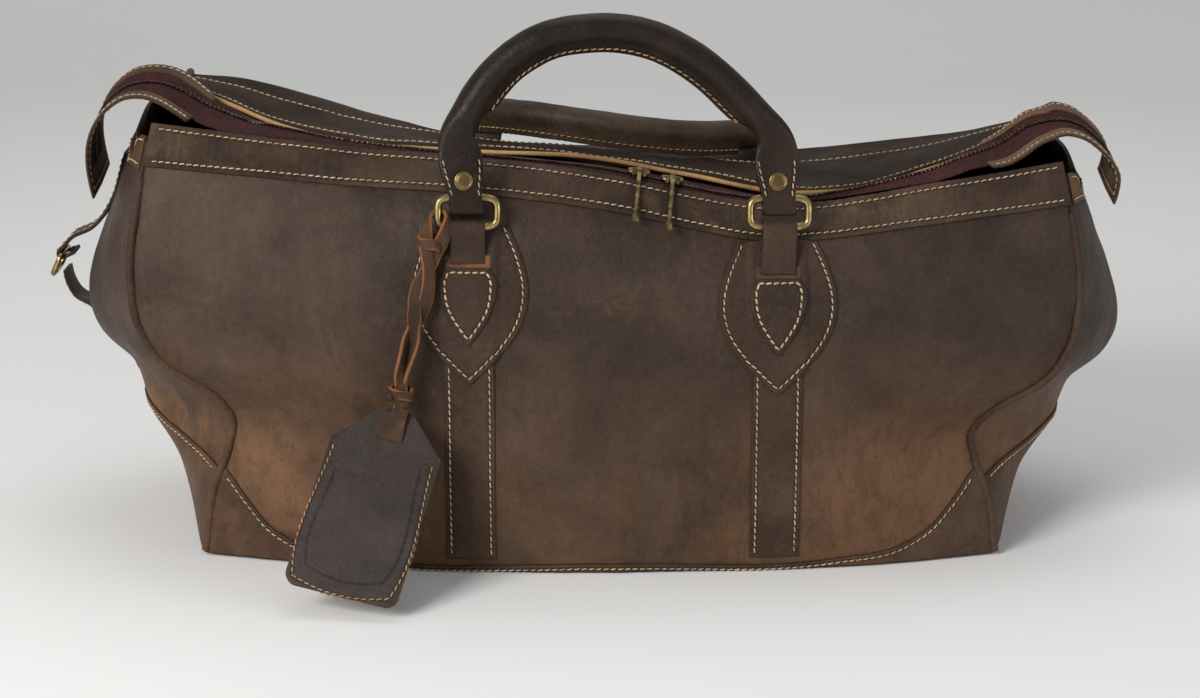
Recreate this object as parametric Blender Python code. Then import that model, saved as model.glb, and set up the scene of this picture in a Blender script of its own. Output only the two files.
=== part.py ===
"""Leather weekender bag, built as separate pieces.

Metres, +Z up. The bag faces -Y and is long along X. The origin is the centre of its base, on the floor.
The body is a soft shell: front panel, back panel folded over the top, and two end gussets meet at piped
seams. Bands, boots, straps and shields lie on that shell, and the zip runs across the top and down both ends.
"""

import math

import bmesh
import bpy
import numpy as np
from mathutils import Matrix, Vector

# ---------------------------------------------------------------- driving dimensions
HALF = 0.300  # half the length, over the bulging ends
DEEP = 0.140  # half the depth, at the widest
TALL = 0.2475  # height of the front edge at its left end
LEAN = 0.0045  # how far the top edge sits to the right of the base

HIDE = 0.0022  # thickness of the body leather
TRIM = 0.0014  # thickness of bands, straps and boots
GAP = 0.0003  # air kept between touching pieces
LIFT = 0.0008  # height of an overlay over the faceted skin under it
PIPING_RADIUS = 0.0021
SEAM_EDGE = 0.0215  # share of a panel's half width that the piping takes
END_EDGE = 0.042  # the same on the narrower gusset
RAISED = LIFT + TRIM + GAP  # height over the panel of a piece that lies on a strap

HANDLE_AT = (-0.0717, 0.0975)  # x of the left and right handle fittings
WIRE = 0.0020  # radius of the ring wire
RING_WIDE = 0.0322
RING_TALL = 0.0160
LOOP_SPACE = 0.0011  # air between a ring and the leather round it

# ---------------------------------------------------------------- profiles
# Pairs are (place, value). Heights are shares of TALL, lengths of HALF and depths of DEEP.
FRONT_EDGE = ((-0.85, 1.0), (-0.52, 0.957), (0.0, 0.893), (0.33, 0.824), (0.58, 0.859), (0.88, 0.913))
RIDGE = (
    (-0.83, 1.015), (-0.73, 1.0), (-0.57, 0.95), (-0.43, 0.90), (-0.33, 0.874),
    (-0.2, 0.846), (0.0, 0.828), (0.4, 0.826), (0.55, 0.845), (0.75, 0.874), (0.86, 0.897),
)
BINDING_HEIGHT = (
    (-0.83, 1.022), (-0.74, 0.996), (-0.64, 0.958), (-0.48, 0.921), (-0.3, 0.909),
    (0.0, 0.893), (0.2, 0.852), (0.34, 0.822), (0.47, 0.822), (0.63, 0.857), (0.765, 0.90), (0.83, 0.917),
)
BINDING_DEPTH = (
    (-0.83, 0.14), (-0.74, 0.0), (-0.64, -0.13), (-0.48, -0.257), (-0.3, -0.32), (0.0, -0.371),
    (0.2, -0.414), (0.34, -0.429), (0.47, -0.393), (0.63, -0.27), (0.765, -0.086), (0.83, 0.036),
)
SEAM_LENGTH = (
    (0.0, 0.752), (0.15, 0.735), (0.26, 0.707), (0.33, 0.700), (0.40, 0.745), (0.46, 0.820),
    (0.54, 0.862), (0.66, 0.880), (0.85, 0.868), (1.0, 0.847),
)
SEAM_DEPTH = ((0.0, 0.70), (0.15, 0.68), (0.33, 0.66), (0.45, 0.74), (0.6, 0.78), (0.8, 0.70), (1.0, 0.58))
FRONT_DEPTH = (
    (0.0, 0.93), (0.2, 0.985), (0.4, 1.0), (0.6, 1.0), (0.8, 0.965), (0.9, 0.885), (0.95, 0.81), (1.0, 0.69),
)
BACK_SEAM_DEPTH = ((0.0, 0.70), (0.2, 0.66), (0.35, 0.70), (0.5, 0.76), (0.65, 0.71), (0.8, 0.57))
BACK_DEPTH = ((0.0, 0.88), (0.2, 0.95), (0.4, 0.96), (0.6, 0.88), (0.72, 0.745), (0.8, 0.57))
BACK_RISE = ((0.0, 0.0), (0.2, 0.27), (0.4, 0.55), (0.6, 0.83), (0.72, 0.96), (0.8, 1.0))
RIDGE_V = 0.8  # place along the back profile where it turns over the top
END_BULGE = (
    (0.0, 0.040), (0.16, 0.100), (0.31, 0.205), (0.42, 0.170), (0.52, 0.145), (0.57, 0.130),
    (0.65, 0.106), (0.74, 0.084), (0.85, 0.070), (1.0, 0.054),
)
END_DIP = 0.028  # how far the middle of a gusset's top edge hangs down
BOOT_EDGE = (
    (0.0, 0.0060), (0.45, 0.0062), (0.57, 0.0115), (0.63, 0.021), (0.68, 0.035), (0.74, 0.050), (0.8, 0.058),
)
SHIELD_SHAPE = ((0.0, 0.04), (0.12, 0.36), (0.3, 0.76), (0.5, 0.98), (0.65, 1.0), (0.85, 0.86), (1.0, 0.68))
SHIELD_HALF = 0.0325
SHIELD_TIP = (0.112, 0.106)  # heights of the left and right tips
CHAPE_TIP = (0.134, 0.128)
CHAPE_SHOULDER = (0.176, 0.168)
BAR_HEIGHT = (0.195, 0.189)  # heights of the ring bars in the front chapes
BACK_BAR_V = 0.735  # place of the rear chapes' bars along the back profile
STRAP_HALF = 0.0137
BAND = 0.0240
BACK_BAND_V = 0.872  # where the top panel's band ends, along the back profile


def smooth(knots, x):
    """Reads a smooth curve through the (place, value) pairs at x."""
    at, value = np.array(knots, float).T
    x = np.clip(np.asarray(x, float), at[0], at[-1])
    slope = np.gradient(value, at)
    i = np.clip(np.searchsorted(at, x) - 1, 0, len(at) - 2)
    step = at[i + 1] - at[i]
    u = (x - at[i]) / step
    return (
        (2 * u**3 - 3 * u**2 + 1) * value[i]
        + (u**3 - 2 * u**2 + u) * step * slope[i]
        + (3 * u**2 - 2 * u**3) * value[i + 1]
        + (u**3 - u**2) * step * slope[i + 1]
    )


def through(points, count):
    """Evenly placed points on a smooth curve through the given ones."""
    points = np.array(points, float)
    run = np.concatenate([[0], np.cumsum(np.linalg.norm(np.diff(points, axis=0), axis=1))])
    at = np.linspace(0, run[-1], count)
    return np.stack([smooth(list(zip(run, points[:, k])), at) for k in range(3)], axis=1)


def unit(v):
    return v / np.linalg.norm(v, axis=-1, keepdims=True)


def blend(a, b, share):
    return a + (b - a) * share


# ---------------------------------------------------------------- the body's surfaces
def front_edge(x):
    return TALL * smooth(FRONT_EDGE, x / HALF)


def front_surface(s, t):
    """Front skin: s from -1 (left seam) to 1, t from 0 (floor) to 1 (top edge)."""
    x = HALF * smooth(SEAM_LENGTH, t) * s + LEAN * t
    seam = smooth(SEAM_DEPTH, t)
    y = -DEEP * blend(smooth(FRONT_DEPTH, t), seam, np.abs(s) ** 2.4)
    return np.stack([x, y, t * front_edge(x)], axis=-1)


def back_surface(s, v):
    """Back skin: v from 0 (floor) over the ridge at RIDGE_V to 1 (the bound edge beside the zip)."""
    up = np.minimum(v, RIDGE_V)
    over = np.clip((v - RIDGE_V) / (1 - RIDGE_V), 0, 1)
    rise = smooth(BACK_RISE, up)
    length = blend(smooth(SEAM_LENGTH, rise), 0.835, over)
    x = HALF * length * s + LEAN * rise
    y = DEEP * blend(smooth(BACK_DEPTH, up), smooth(BACK_SEAM_DEPTH, up), np.abs(s) ** 2.4)
    z = rise * TALL * smooth(RIDGE, x / HALF)
    y = blend(y, DEEP * smooth(BINDING_DEPTH, x / HALF), over)
    z = blend(z, TALL * smooth(BINDING_HEIGHT, x / HALF), over)
    return np.stack([x, y, z], axis=-1)


def end_surface(side, w, v):
    """Gusset skin: w from -1 (front seam) to 1 (back seam), v from 0 (floor) to 1 (top edge)."""
    flat = np.ones_like(w * v) * side
    front = front_surface(flat, v * np.ones_like(w))
    back = back_surface(flat, RIDGE_V * v * np.ones_like(w))
    point = blend(front, back, ((w + 1) / 2)[..., None])
    round_out = 1 - np.abs(w) ** 2.2
    point[..., 0] += side * HALF * smooth(END_BULGE, v) * round_out
    point[..., 2] -= END_DIP * v**8 * np.exp(-(((w + 0.35) / 0.33) ** 2))
    return point


def on_front(x, z):
    """Front skin at a place given by x and height."""
    t = z / front_edge(x)
    s = (x - LEAN * t) / (HALF * smooth(SEAM_LENGTH, t))
    return front_surface(s, t)


def on_back(x, z):
    """Back skin below the ridge, at a place given by x and height."""
    rise = z / (TALL * smooth(RIDGE, x / HALF))
    steps = np.linspace(0, RIDGE_V, 60)
    v = np.interp(rise, smooth(BACK_RISE, steps), steps)
    s = (x - LEAN * rise) / (HALF * smooth(SEAM_LENGTH, rise))
    return back_surface(s, v)


def outward(surface, a, b, flip=False):
    """Unit normals of a two-way surface, by small steps."""
    h = 1e-4
    du = surface(a + h, b) - surface(a - h, b)
    dv = surface(a, b + h) - surface(a, b - h)
    n = unit(np.cross(du, dv))
    return -n if flip else n


# ---------------------------------------------------------------- meshes and materials
def material(name, colour, roughness, metallic=0.0):
    found = bpy.data.materials.get(name)
    if found:
        return found
    made = bpy.data.materials.new(name)
    made.use_nodes = True
    shader = made.node_tree.nodes["Principled BSDF"]
    shader.inputs["Base Color"].default_value = (*colour, 1.0)
    shader.inputs["Roughness"].default_value = roughness
    shader.inputs["Metallic"].default_value = metallic
    made.diffuse_color = (*colour, 1.0)
    return made


def add_object(name, points, faces, finish, frame=None, smooth_angle=40):
    """Makes one object. Its origin and axes are those of frame, a 4x4 matrix, or the world's."""
    mesh = bpy.data.meshes.new(name)
    frame = frame or Matrix.Identity(4)
    inside = np.array(frame.inverted())
    points = np.asarray(points, float) @ inside[:3, :3].T + inside[:3, 3]
    mesh.from_pydata([tuple(p) for p in points], [], [tuple(int(i) for i in f) for f in faces])
    shape = bmesh.new()
    shape.from_mesh(mesh)
    bmesh.ops.recalc_face_normals(shape, faces=shape.faces)
    shape.to_mesh(mesh)
    shape.free()
    mesh.shade_smooth()
    mesh.set_sharp_from_angle(angle=math.radians(smooth_angle))
    mesh.materials.append(finish)
    obj = bpy.data.objects.new(name, mesh)
    obj.matrix_world = frame
    bpy.context.scene.collection.objects.link(obj)
    return obj


def sheet(name, surface, us, vs, low, high, finish, flip=False, frame=None):
    """A closed sheet on surface(u, v): its faces stand low and high above the surface."""
    us, vs = np.asarray(us, float), np.asarray(vs, float)
    u = np.repeat(us[:, None], vs.shape[-1], axis=1)
    v = np.repeat(vs[None, :], len(us), axis=0) if vs.ndim == 1 else vs
    base = surface(u, v)
    normal = outward(surface, u, v, flip)
    layers = [base + normal * low, base + normal * high]
    rows, columns = u.shape
    points = np.concatenate([layer.reshape(-1, 3) for layer in layers])
    over = rows * columns
    cell = lambda i, j: i * columns + j
    faces = []
    for i in range(rows - 1):
        for j in range(columns - 1):
            a, b, c, d = cell(i, j), cell(i + 1, j), cell(i + 1, j + 1), cell(i, j + 1)
            for ring in ((a, b, c), (a, c, d)):
                faces.append([k + over for k in ring])
                faces.append(ring[::-1])
    border = [cell(i, 0) for i in range(rows)]
    border += [cell(rows - 1, j) for j in range(1, columns)]
    border += [cell(i, columns - 1) for i in range(rows - 2, -1, -1)]
    border += [cell(0, j) for j in range(columns - 2, 0, -1)]
    for k, a in enumerate(border):
        b = border[(k + 1) % len(border)]
        faces.append([a, b, b + over, a + over])
    return add_object(name, points, faces, finish, frame)


def section(wide, thick, corners=2.0, count=10):
    """A rounded section: an ellipse where corners is 2, squarer as it grows."""
    turn = np.arange(count) * 2 * math.pi / count + math.pi / count
    c, s = np.cos(turn), np.sin(turn)
    power = 2 / corners
    return np.stack([wide * np.sign(c) * np.abs(c) ** power, thick * np.sign(s) * np.abs(s) ** power], axis=1)


def sweep(name, centres, sides, sections, finish, closed=False, frame=None):
    """A solid along centres. Each section lies on its side vector and the one square to it."""
    centres = np.asarray(centres, float)
    if closed:
        along = np.roll(centres, -1, axis=0) - np.roll(centres, 1, axis=0)
    else:
        along = np.gradient(centres, axis=0)
    along = unit(along)
    sides = np.asarray(sides, float) - along * np.sum(along * sides, axis=1, keepdims=True)
    sides = unit(sides)
    ups = np.cross(along, sides)
    rings = [
        c + np.outer(part[:, 0], a) + np.outer(part[:, 1], b)
        for c, a, b, part in zip(centres, sides, ups, sections)
    ]
    count = len(sections[0])
    points = np.concatenate(rings)
    faces = []
    for i in range(len(rings) - (0 if closed else 1)):
        a, b = i * count, (i + 1) % len(rings) * count
        for k in range(count):
            n = (k + 1) % count
            faces.append([a + k, a + n, b + n, b + k])
    if not closed:
        faces.append(list(range(count))[::-1])
        faces.append([(len(rings) - 1) * count + k for k in range(count)])
    return add_object(name, points, faces, finish, frame)


def prism(name, outline, thick, finish, frame, holes=(), home=None):
    """A flat plate, its outline in the frame's XZ plane and thick along Y. Its origin is at home."""
    mesh = bmesh.new()
    loops = [outline, *holes]
    edges = []
    for loop in loops:
        ring = [mesh.verts.new((x, -thick / 2, z)) for x, z in loop]
        edges += [mesh.edges.new((a, b)) for a, b in zip(ring, ring[1:] + ring[:1])]
    flat = bmesh.ops.triangle_fill(mesh, edges=edges, use_beauty=True, use_dissolve=False)
    faces = [g for g in flat["geom"] if isinstance(g, bmesh.types.BMFace)]
    out = bmesh.ops.extrude_face_region(mesh, geom=faces)
    moved = [g for g in out["geom"] if isinstance(g, bmesh.types.BMVert)]
    bmesh.ops.translate(mesh, verts=moved, vec=(0, thick, 0))
    mesh.verts.ensure_lookup_table()
    place = np.array(frame)
    local = np.array([v.co for v in mesh.verts])
    points = local @ place[:3, :3].T + place[:3, 3]
    mesh.verts.index_update()
    polygons = [[v.index for v in f.verts] for f in mesh.faces]
    mesh.free()
    return add_object(name, points, polygons, finish, home or frame)


def frame_from(origin, x_axis, z_hint=(0, 0, 1)):
    """A frame at origin whose X runs along x_axis and whose Z is as near to z_hint as it can be."""
    x = unit(np.array(x_axis, float))
    y = unit(np.cross(np.array(z_hint, float), x))
    z = np.cross(x, y)
    made = np.eye(4)
    made[:3, 0], made[:3, 1], made[:3, 2], made[:3, 3] = x, y, z, origin
    return Matrix(made.tolist())


def turned(frame, angle, shift=(0, 0, 0)):
    """The frame turned about its own X, then moved along its own turned axes."""
    return frame @ Matrix.Rotation(angle, 4, "X") @ Matrix.Translation(Vector(shift))


def placed(frame, points):
    m = np.array(frame)
    return np.asarray(points, float) @ m[:3, :3].T + m[:3, 3]


LEATHER = ("leather_body", (0.090, 0.052, 0.032), 0.55)
LEATHER_TRIM = ("leather_trim", (0.105, 0.060, 0.036), 0.50)
LEATHER_HANDLE = ("leather_handle", (0.045, 0.028, 0.020), 0.40)
LEATHER_TAN = ("leather_tan", (0.230, 0.125, 0.058), 0.55)
LEATHER_TAG = ("leather_tag", (0.050, 0.034, 0.026), 0.55)
BOUND_EDGE = ("bound_edge", (0.480, 0.290, 0.130), 0.60)
ZIP_TAPE = ("zip_tape", (0.055, 0.022, 0.020), 0.85)
ZIP_TEETH = ("zip_teeth", (0.030, 0.020, 0.016), 0.35, 0.7)
BRASS = ("antique_brass", (0.300, 0.210, 0.085), 0.35, 1.0)
LINING = ("lining_cotton", (0.200, 0.150, 0.100), 0.90)
BOARD = ("base_board", (0.120, 0.090, 0.060), 0.90)


# ---------------------------------------------------------------- the shell
def build_panels():
    t = np.concatenate([[0.006], np.linspace(0.08, 0.86, 11), [0.92, 0.965, 0.998]])
    s = np.linspace(-1 + SEAM_EDGE, 1 - SEAM_EDGE, 23)
    sheet("front_panel", front_surface, s, t, -HIDE, 0, material(*LEATHER))
    v = np.concatenate([[0.006], np.linspace(0.09, 0.78, 10), [0.83, 0.88, 0.94, 0.995]])
    sheet("back_panel", back_surface, s, v, -HIDE, 0, material(*LEATHER), flip=True)
    for side, name in ((-1, "left_gusset"), (1, "right_gusset")):
        w = np.linspace(-1 + END_EDGE, 1 - END_EDGE, 11)
        v = np.concatenate([[0.006], np.linspace(0.08, 0.40, 5), np.linspace(0.50, 0.90, 5), [0.955]])
        skin = lambda a, b, side=side: end_surface(side, a, b)
        sheet(name, skin, w, v, -HIDE, 0, material(*LEATHER), flip=side < 0)


def base_surface(s, w):
    """The floor plan inside the panels: s along the bag, w from the back (-1) to the front (1)."""
    inset = 1 - 0.030
    zero = np.zeros_like(s)
    front, back = front_surface(s, zero), back_surface(s, zero)
    point = blend(back, front, ((w + 1) / 2)[..., None])
    bulge = HALF * smooth(END_BULGE, 0.0) * (1 - np.abs(w) ** 2.2)
    point[..., 0] += np.sign(s) * np.abs(s) ** 8 * bulge
    point[..., :2] *= inset
    point[..., 2] = 0
    return point


def build_base():
    s = np.linspace(-0.985, 0.985, 15)
    w = np.linspace(-0.985, 0.985, 7)
    sheet("base_panel", base_surface, s, w, 0, 0.0028, material(*LEATHER), flip=True)
    inner = lambda a, b: base_surface(0.93 * a, 0.93 * b)
    sheet("base_board", inner, s[::2], w[::2], 0.0034, 0.0058, material(*BOARD), flip=True)


def build_boots():
    """Reinforcing leather round the base: a strip that rises at the corners."""
    for name, surface, edge, flip in (
        ("front_boot", front_surface, front_edge, False),
        ("back_boot", back_surface, lambda x: TALL * smooth(RIDGE, x / HALF), True),
    ):
        end = np.linspace(0.5, 0.985, 9)
        s = np.concatenate([-end[::-1], np.linspace(-0.3, 0.3, 4), end])
        high = smooth(BOOT_EDGE, np.abs(s) * 0.75) / edge(HALF * 0.75 * s)
        if flip:
            high = np.interp(high, [p[1] for p in BACK_RISE], [p[0] for p in BACK_RISE])
        share = np.linspace(0, 1, 4)
        t = 0.006 + (high[:, None] - 0.006) * share[None, :]
        sheet(name, surface, s, t, LIFT, LIFT + TRIM, material(*LEATHER_TRIM), flip=flip)
    for side, name in ((-1, "left_end_boot"), (1, "right_end_boot")):
        w = np.linspace(-0.94, 0.94, 13)
        high = 0.20 + 0.10 * (1 - w**2)
        t = 0.006 + (high[:, None] - 0.006) * np.linspace(0, 1, 5)[None, :]
        skin = lambda a, b, side=side: end_surface(side, a, b)
        sheet(name, skin, w, t, 3 * LIFT, 3 * LIFT + TRIM, material(*LEATHER_TRIM), flip=side < 0)


def build_piping():
    """Rolled leather in the four upright seams; the rear ones turn forward along the top panel's ends."""
    for side, hand in ((-1, "left"), (1, "right")):
        t = np.concatenate([[0.012], np.linspace(0.07, 0.86, 17)])
        front = front_surface(np.full_like(t, side), t)
        v = np.concatenate([[0.012], np.linspace(0.08, 0.74, 12), [0.79, 0.83, 0.88, 0.93]])
        back = back_surface(np.full_like(v, side), v)
        for place, path, across in (("front", front, (0.0, 1.0, 0.0)), ("back", back, (0.3, 1.0, 0.9))):
            parts = [section(PIPING_RADIUS, PIPING_RADIUS, count=6)] * len(path)
            sides = np.tile(across, (len(path), 1))
            sweep(f"{place}_{hand}_piping", path, sides, parts, material(*LEATHER))


def band_drop(s):
    """Height of the front band at s: it leans back in the middle of the bag, where it looks narrower."""
    return blend(0.0165, BAND, np.abs(s) ** 2.4)


def build_bands():
    s = np.linspace(-0.985, 0.985, 23)
    low = 1 - band_drop(s) / front_edge(HALF * 0.85 * s)
    t = low[:, None] + (0.998 - low[:, None]) * np.linspace(0, 1, 4)[None, :]
    sheet("front_band", front_surface, s, t, LIFT, LIFT + TRIM, material(*LEATHER_TRIM))
    v = np.linspace(BACK_BAND_V, 0.985, 5)
    sheet("back_band", back_surface, s, v, LIFT, LIFT + TRIM, material(*LEATHER_TRIM), flip=True)
    for side, name in ((-1, "left_end_band"), (1, "right_end_band")):
        w = np.linspace(-0.955, -0.10, 9)
        v = np.linspace(0.900, 0.965, 3)
        skin = lambda a, b, side=side: end_surface(side, a, b)
        sheet(name, skin, w, v, 2 * LIFT, 2 * LIFT + TRIM, material(*LEATHER_TAN), flip=side < 0)
    s = np.linspace(-0.985, 0.985, 29)
    edge = back_surface(s, np.full_like(s, 1.0))
    edge[:, 1] -= 0.0016
    edge[:, 2] += 0.0002
    parts = [section(0.0013, 0.0013, count=6)] * len(edge)
    sweep("bound_edge", edge, np.tile([0.0, 1.0, 0.0], (len(edge), 1)), parts, material(*BOUND_EDGE))


# ---------------------------------------------------------------- the zip
# The tails' arch, as (distance from the bag's middle, height over the end of the front edge).
TAIL_ARCH = (
    (0.206, -0.0060), (0.228, 0.001), (0.249, 0.0105), (0.268, 0.0115), (0.284, 0.001),
    (0.2925, -0.018), (0.2920, -0.035), (0.2890, -0.050),
)
TAIL_CURL = 0.62  # share of its drop to which the right tail is pressed up
TAIL_TILT = (-0.0035, 0.0, 0.0060)  # height of a tail's front edge, middle and back edge over its arch
TAIL_START = (0.226, 0.200, 0.200)  # distance from the middle where each of them leaves the mouth
TAIL_HALF = 0.029  # half the width of a tail
TAIL_Y = -0.020  # y of a tail's middle
ZIP_END = 0.185  # distance from the middle where the zip leaves the mouth and rises into a tail
ZIP_BEHIND = ((0.0, 0.0080), (0.12, 0.0090), (0.16, 0.018), (0.185, 0.030))  # teeth behind the front edge
TOOTH = 0.0026  # half the width of the closed teeth
TOOTH_GAP = 0.0007  # from the middle line to each half, and from each half to its tape
TOOTH_TALL = 0.0010  # half the height of the teeth
EDGING = 0.0150  # width of the leather along each side of a tail
ARCH_STEPS = 13
ZIP_FROM = 0.022  # where the leather across a tail's tip ends, as a share of the zip's length
TIP_GAP = 0.0025  # from there to the tape
TAIL_STEPS = 14
EDGING_ROOM = 0.0085  # width that the back edging leaves for the teeth and the tape
EDGING_LAP = 0.0018  # air in the zip's surface between the edging and the tape


def zip_lines():
    """The zip's front edge, middle and back edge, from the left tail's tip to the right one's."""
    x = np.linspace(-ZIP_END, ZIP_END, 23)
    rim = on_front(x, front_edge(x) * 0.998)
    front = rim + [0, 0.0022, 0.0010]
    middle = rim + [0, 0, 0.0016]
    middle[:, 1] += smooth(ZIP_BEHIND, np.abs(x))
    bound_y, bound_z = DEEP * smooth(BINDING_DEPTH, x / HALF), TALL * smooth(BINDING_HEIGHT, x / HALF)
    back = np.stack([x, bound_y - 0.0062, bound_z - 0.0024], axis=1)
    lines = [front, middle, back]
    for side in (-1, 1):
        top = float(front_edge(side * 0.26))
        out = 0.004 if side > 0 else 0.0
        drop = TAIL_CURL if side > 0 else 1.0
        outline = [(side * (x + out), 0.0, top + max(z, 0) + drop * min(z, 0)) for x, z in TAIL_ARCH]
        arch = through(outline, ARCH_STEPS)
        reach = np.abs(arch[:, 0])
        near_x = np.clip(arch[:, 0], -0.245, 0.245)
        rim_y = on_front(near_x, front_edge(near_x) * 0.998)[:, 1] + 0.0035
        for k, (line, across) in enumerate(zip(lines, (-TAIL_HALF, 0.0, TAIL_HALF))):
            tail = arch.copy()
            settle = np.clip((reach - TAIL_START[k]) / 0.040, 0, 1)
            settle[ARCH_STEPS // 2:] = 1
            tail[:, 1] = blend((rim_y, -0.040, -0.020)[k], TAIL_Y + across, settle)
            tail[:, 2] += TAIL_TILT[k] * np.clip((reach - 0.206) / 0.03, 0, 1)
            if k > 0:
                near = DEEP * smooth(BINDING_DEPTH, tail[:, 0] / HALF) - (0.0195, 0.0075)[k - 1]
                free = np.arange(ARCH_STEPS) >= 6
                tail[:, 1] = np.where(free, tail[:, 1], np.minimum(tail[:, 1], near))
            lines[k] = np.concatenate([tail[::-1], line]) if side < 0 else np.concatenate([line, tail])
    return [through(line, 64) for line in lines]


def zip_surface(lines):
    """The zip's surface: a from 0 to 1 along it, w from 0 (front edge) over 0.5 (teeth) to 1 (back edge)."""
    count = len(lines[0])

    def surface(a, w):
        place = np.clip(a, 0, 1) * (count - 1)
        i = np.clip(place.astype(int), 0, count - 2)
        u = (place - i)[..., None]
        near, middle, far = (blend(line[i], line[i + 1], u) for line in lines)
        first = blend(near, middle, (2 * w)[..., None])
        second = blend(middle, far, (2 * w - 1)[..., None])
        return np.where(w[..., None] < 0.5, first, second)

    return surface


def zip_widths(surface, a):
    """Widths of the zip's front and back halves at a."""
    rows = [surface(a, np.full_like(a, w)) for w in (0.0, 0.5, 1.0)]
    return np.linalg.norm(rows[1] - rows[0], axis=1), np.linalg.norm(rows[2] - rows[1], axis=1)


def zip_steps():
    """Places along the zip: close together round the tails' arches."""
    tail = np.linspace(ZIP_FROM, 0.17, TAIL_STEPS)
    return np.concatenate([tail, np.linspace(0.17, 0.83, 19)[1:-1], 1 - tail[::-1]])


def build_zip(surface):
    a = zip_steps()
    a[[0, -1]] += [TIP_GAP, -TIP_GAP]
    front, back = zip_widths(surface, a)
    x = np.abs(surface(a, np.full_like(a, 0.5))[:, 0])
    edging = EDGING * np.clip((x - 0.19) / 0.035, 0, 1)
    back_edging = np.minimum(edging, back - EDGING_ROOM)
    for name, low, high in (
        ("zip_tape_front", 0.5 * edging / front + 0.003, 0.5 - 0.5 * (TOOTH + TOOTH_GAP) / front),
        ("zip_tape_back", 0.5 + 0.5 * (TOOTH + 2 * TOOTH_GAP) / back, 1 - 0.5 * back_edging / back - 0.003),
    ):
        sheet(name, surface, a, np.stack([low, high], axis=1), -0.0004, 0.0004, material(*ZIP_TAPE))
    for name, low, high in (
        ("zip_teeth_front", 0.5 - 0.5 * TOOTH / front, 0.5 - 0.5 * TOOTH_GAP / front),
        ("zip_teeth_back", 0.5 + 0.5 * TOOTH_GAP / back, 0.5 + 0.5 * TOOTH / back),
    ):
        sheet(name, surface, a, np.stack([low, high], axis=1), -TOOTH_TALL, TOOTH_TALL, material(*ZIP_TEETH))


def build_zip_tails(surface):
    """Leather edging along both sides of each tail, joined across its tip."""
    steps = zip_steps()[TAIL_STEPS - 3:: -1]
    for along, tip, name in ((steps, 0.005, "left_zip_tail"), (1 - steps, 0.995, "right_zip_tail")):
        front, back = zip_widths(surface, along)
        strip = EDGING - EDGING_LAP
        back_strip = np.minimum(EDGING, back - EDGING_ROOM) - EDGING_LAP
        rows = [
            np.zeros_like(along), np.minimum(0.5 * strip / front, 0.38),
            1 - 0.5 * back_strip / back, np.ones_like(along),
        ]
        build_tail(name, surface, along, rows, tip)


def build_tail(name, surface, along, rows, tip):
    """Two long strips and the piece across their tip, as one closed sheet on the zip's surface."""
    count = len(along) + 1
    a = np.concatenate([np.append(along, tip) for _ in rows])
    w = np.concatenate([np.append(row, row[-1]) for row in rows])
    base = surface(a, w)
    normal = outward(surface, np.clip(a, 0.01, 0.99), np.clip(w, 0.01, 0.99))
    points = np.concatenate([base - normal * 0.0009, base + normal * 0.0009])
    quads = []
    for left, right in ((0, 1), (2, 3)):
        for i in range(count - 1):
            quads.append([left * count + i, right * count + i, right * count + i + 1, left * count + i + 1])
    quads.append([2 * count - 2, 3 * count - 2, 3 * count - 1, 2 * count - 1])
    directed = {pair for q in quads for pair in zip(q, q[1:] + q[:1])}
    over = len(base)
    faces = [q[::-1] for q in quads] + [[k + over for k in q] for q in quads]
    faces += [[p, r, r + over, p + over] for p, r in sorted(directed) if (r, p) not in directed]
    add_object(name, points, faces, material(*LEATHER_TAN))


# ---------------------------------------------------------------- straps, shields and chapes
FACES = (
    ("front", on_front, False),
    ("back", on_back, True),
)


def build_straps_and_shields():
    for place, face, flip in FACES:
        for hand, x, tip in zip(("left", "right"), HANDLE_AT, SHIELD_TIP):
            across = lambda a, h, x=x: face(x + a, h)
            across_x = np.linspace(-STRAP_HALF, STRAP_HALF, 3)
            top = 0.150
            sheet(f"{place}_{hand}_strap", across, across_x, np.linspace(0.0105, top, 9), LIFT, LIFT + TRIM,
                  material(*LEATHER_TRIM), flip=flip)
            peak = 0.197 if hand == "left" else 0.187
            if place == "back":
                peak = 0.194 if hand == "left" else 0.188

            def shield(a, h, x=x, tip=tip, peak=peak):
                z = tip + (peak - tip) * h
                return face(x + a * SHIELD_HALF * smooth(SHIELD_SHAPE, h), z)

            sheet(f"{place}_{hand}_shield", shield, np.linspace(-1, 1, 6), np.linspace(0, 1, 10),
                  RAISED, RAISED + TRIM, material(*LEATHER_TRIM), flip=flip)


def bar_places():
    """Centres of the ring bars in the chapes: outside the shields, by the thickness of the loop."""
    stand_off = RAISED + TRIM + GAP + 2 * TRIM + LOOP_SPACE + WIRE
    found = {}
    for place, face, flip in FACES:
        ends = []
        for k, x in enumerate(HANDLE_AT):
            if place == "front":
                z = BAR_HEIGHT[k]
            else:
                z = float(back_surface(np.array(x / (HALF * 0.86)), np.array(BACK_BAR_V))[2])
            here, height = np.array([x]), np.array([z])
            normal = outward(face, here, height, flip)[0]
            ends.append(face(here, height)[0] + normal * stand_off)
        found[place] = ends
    return found


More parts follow.
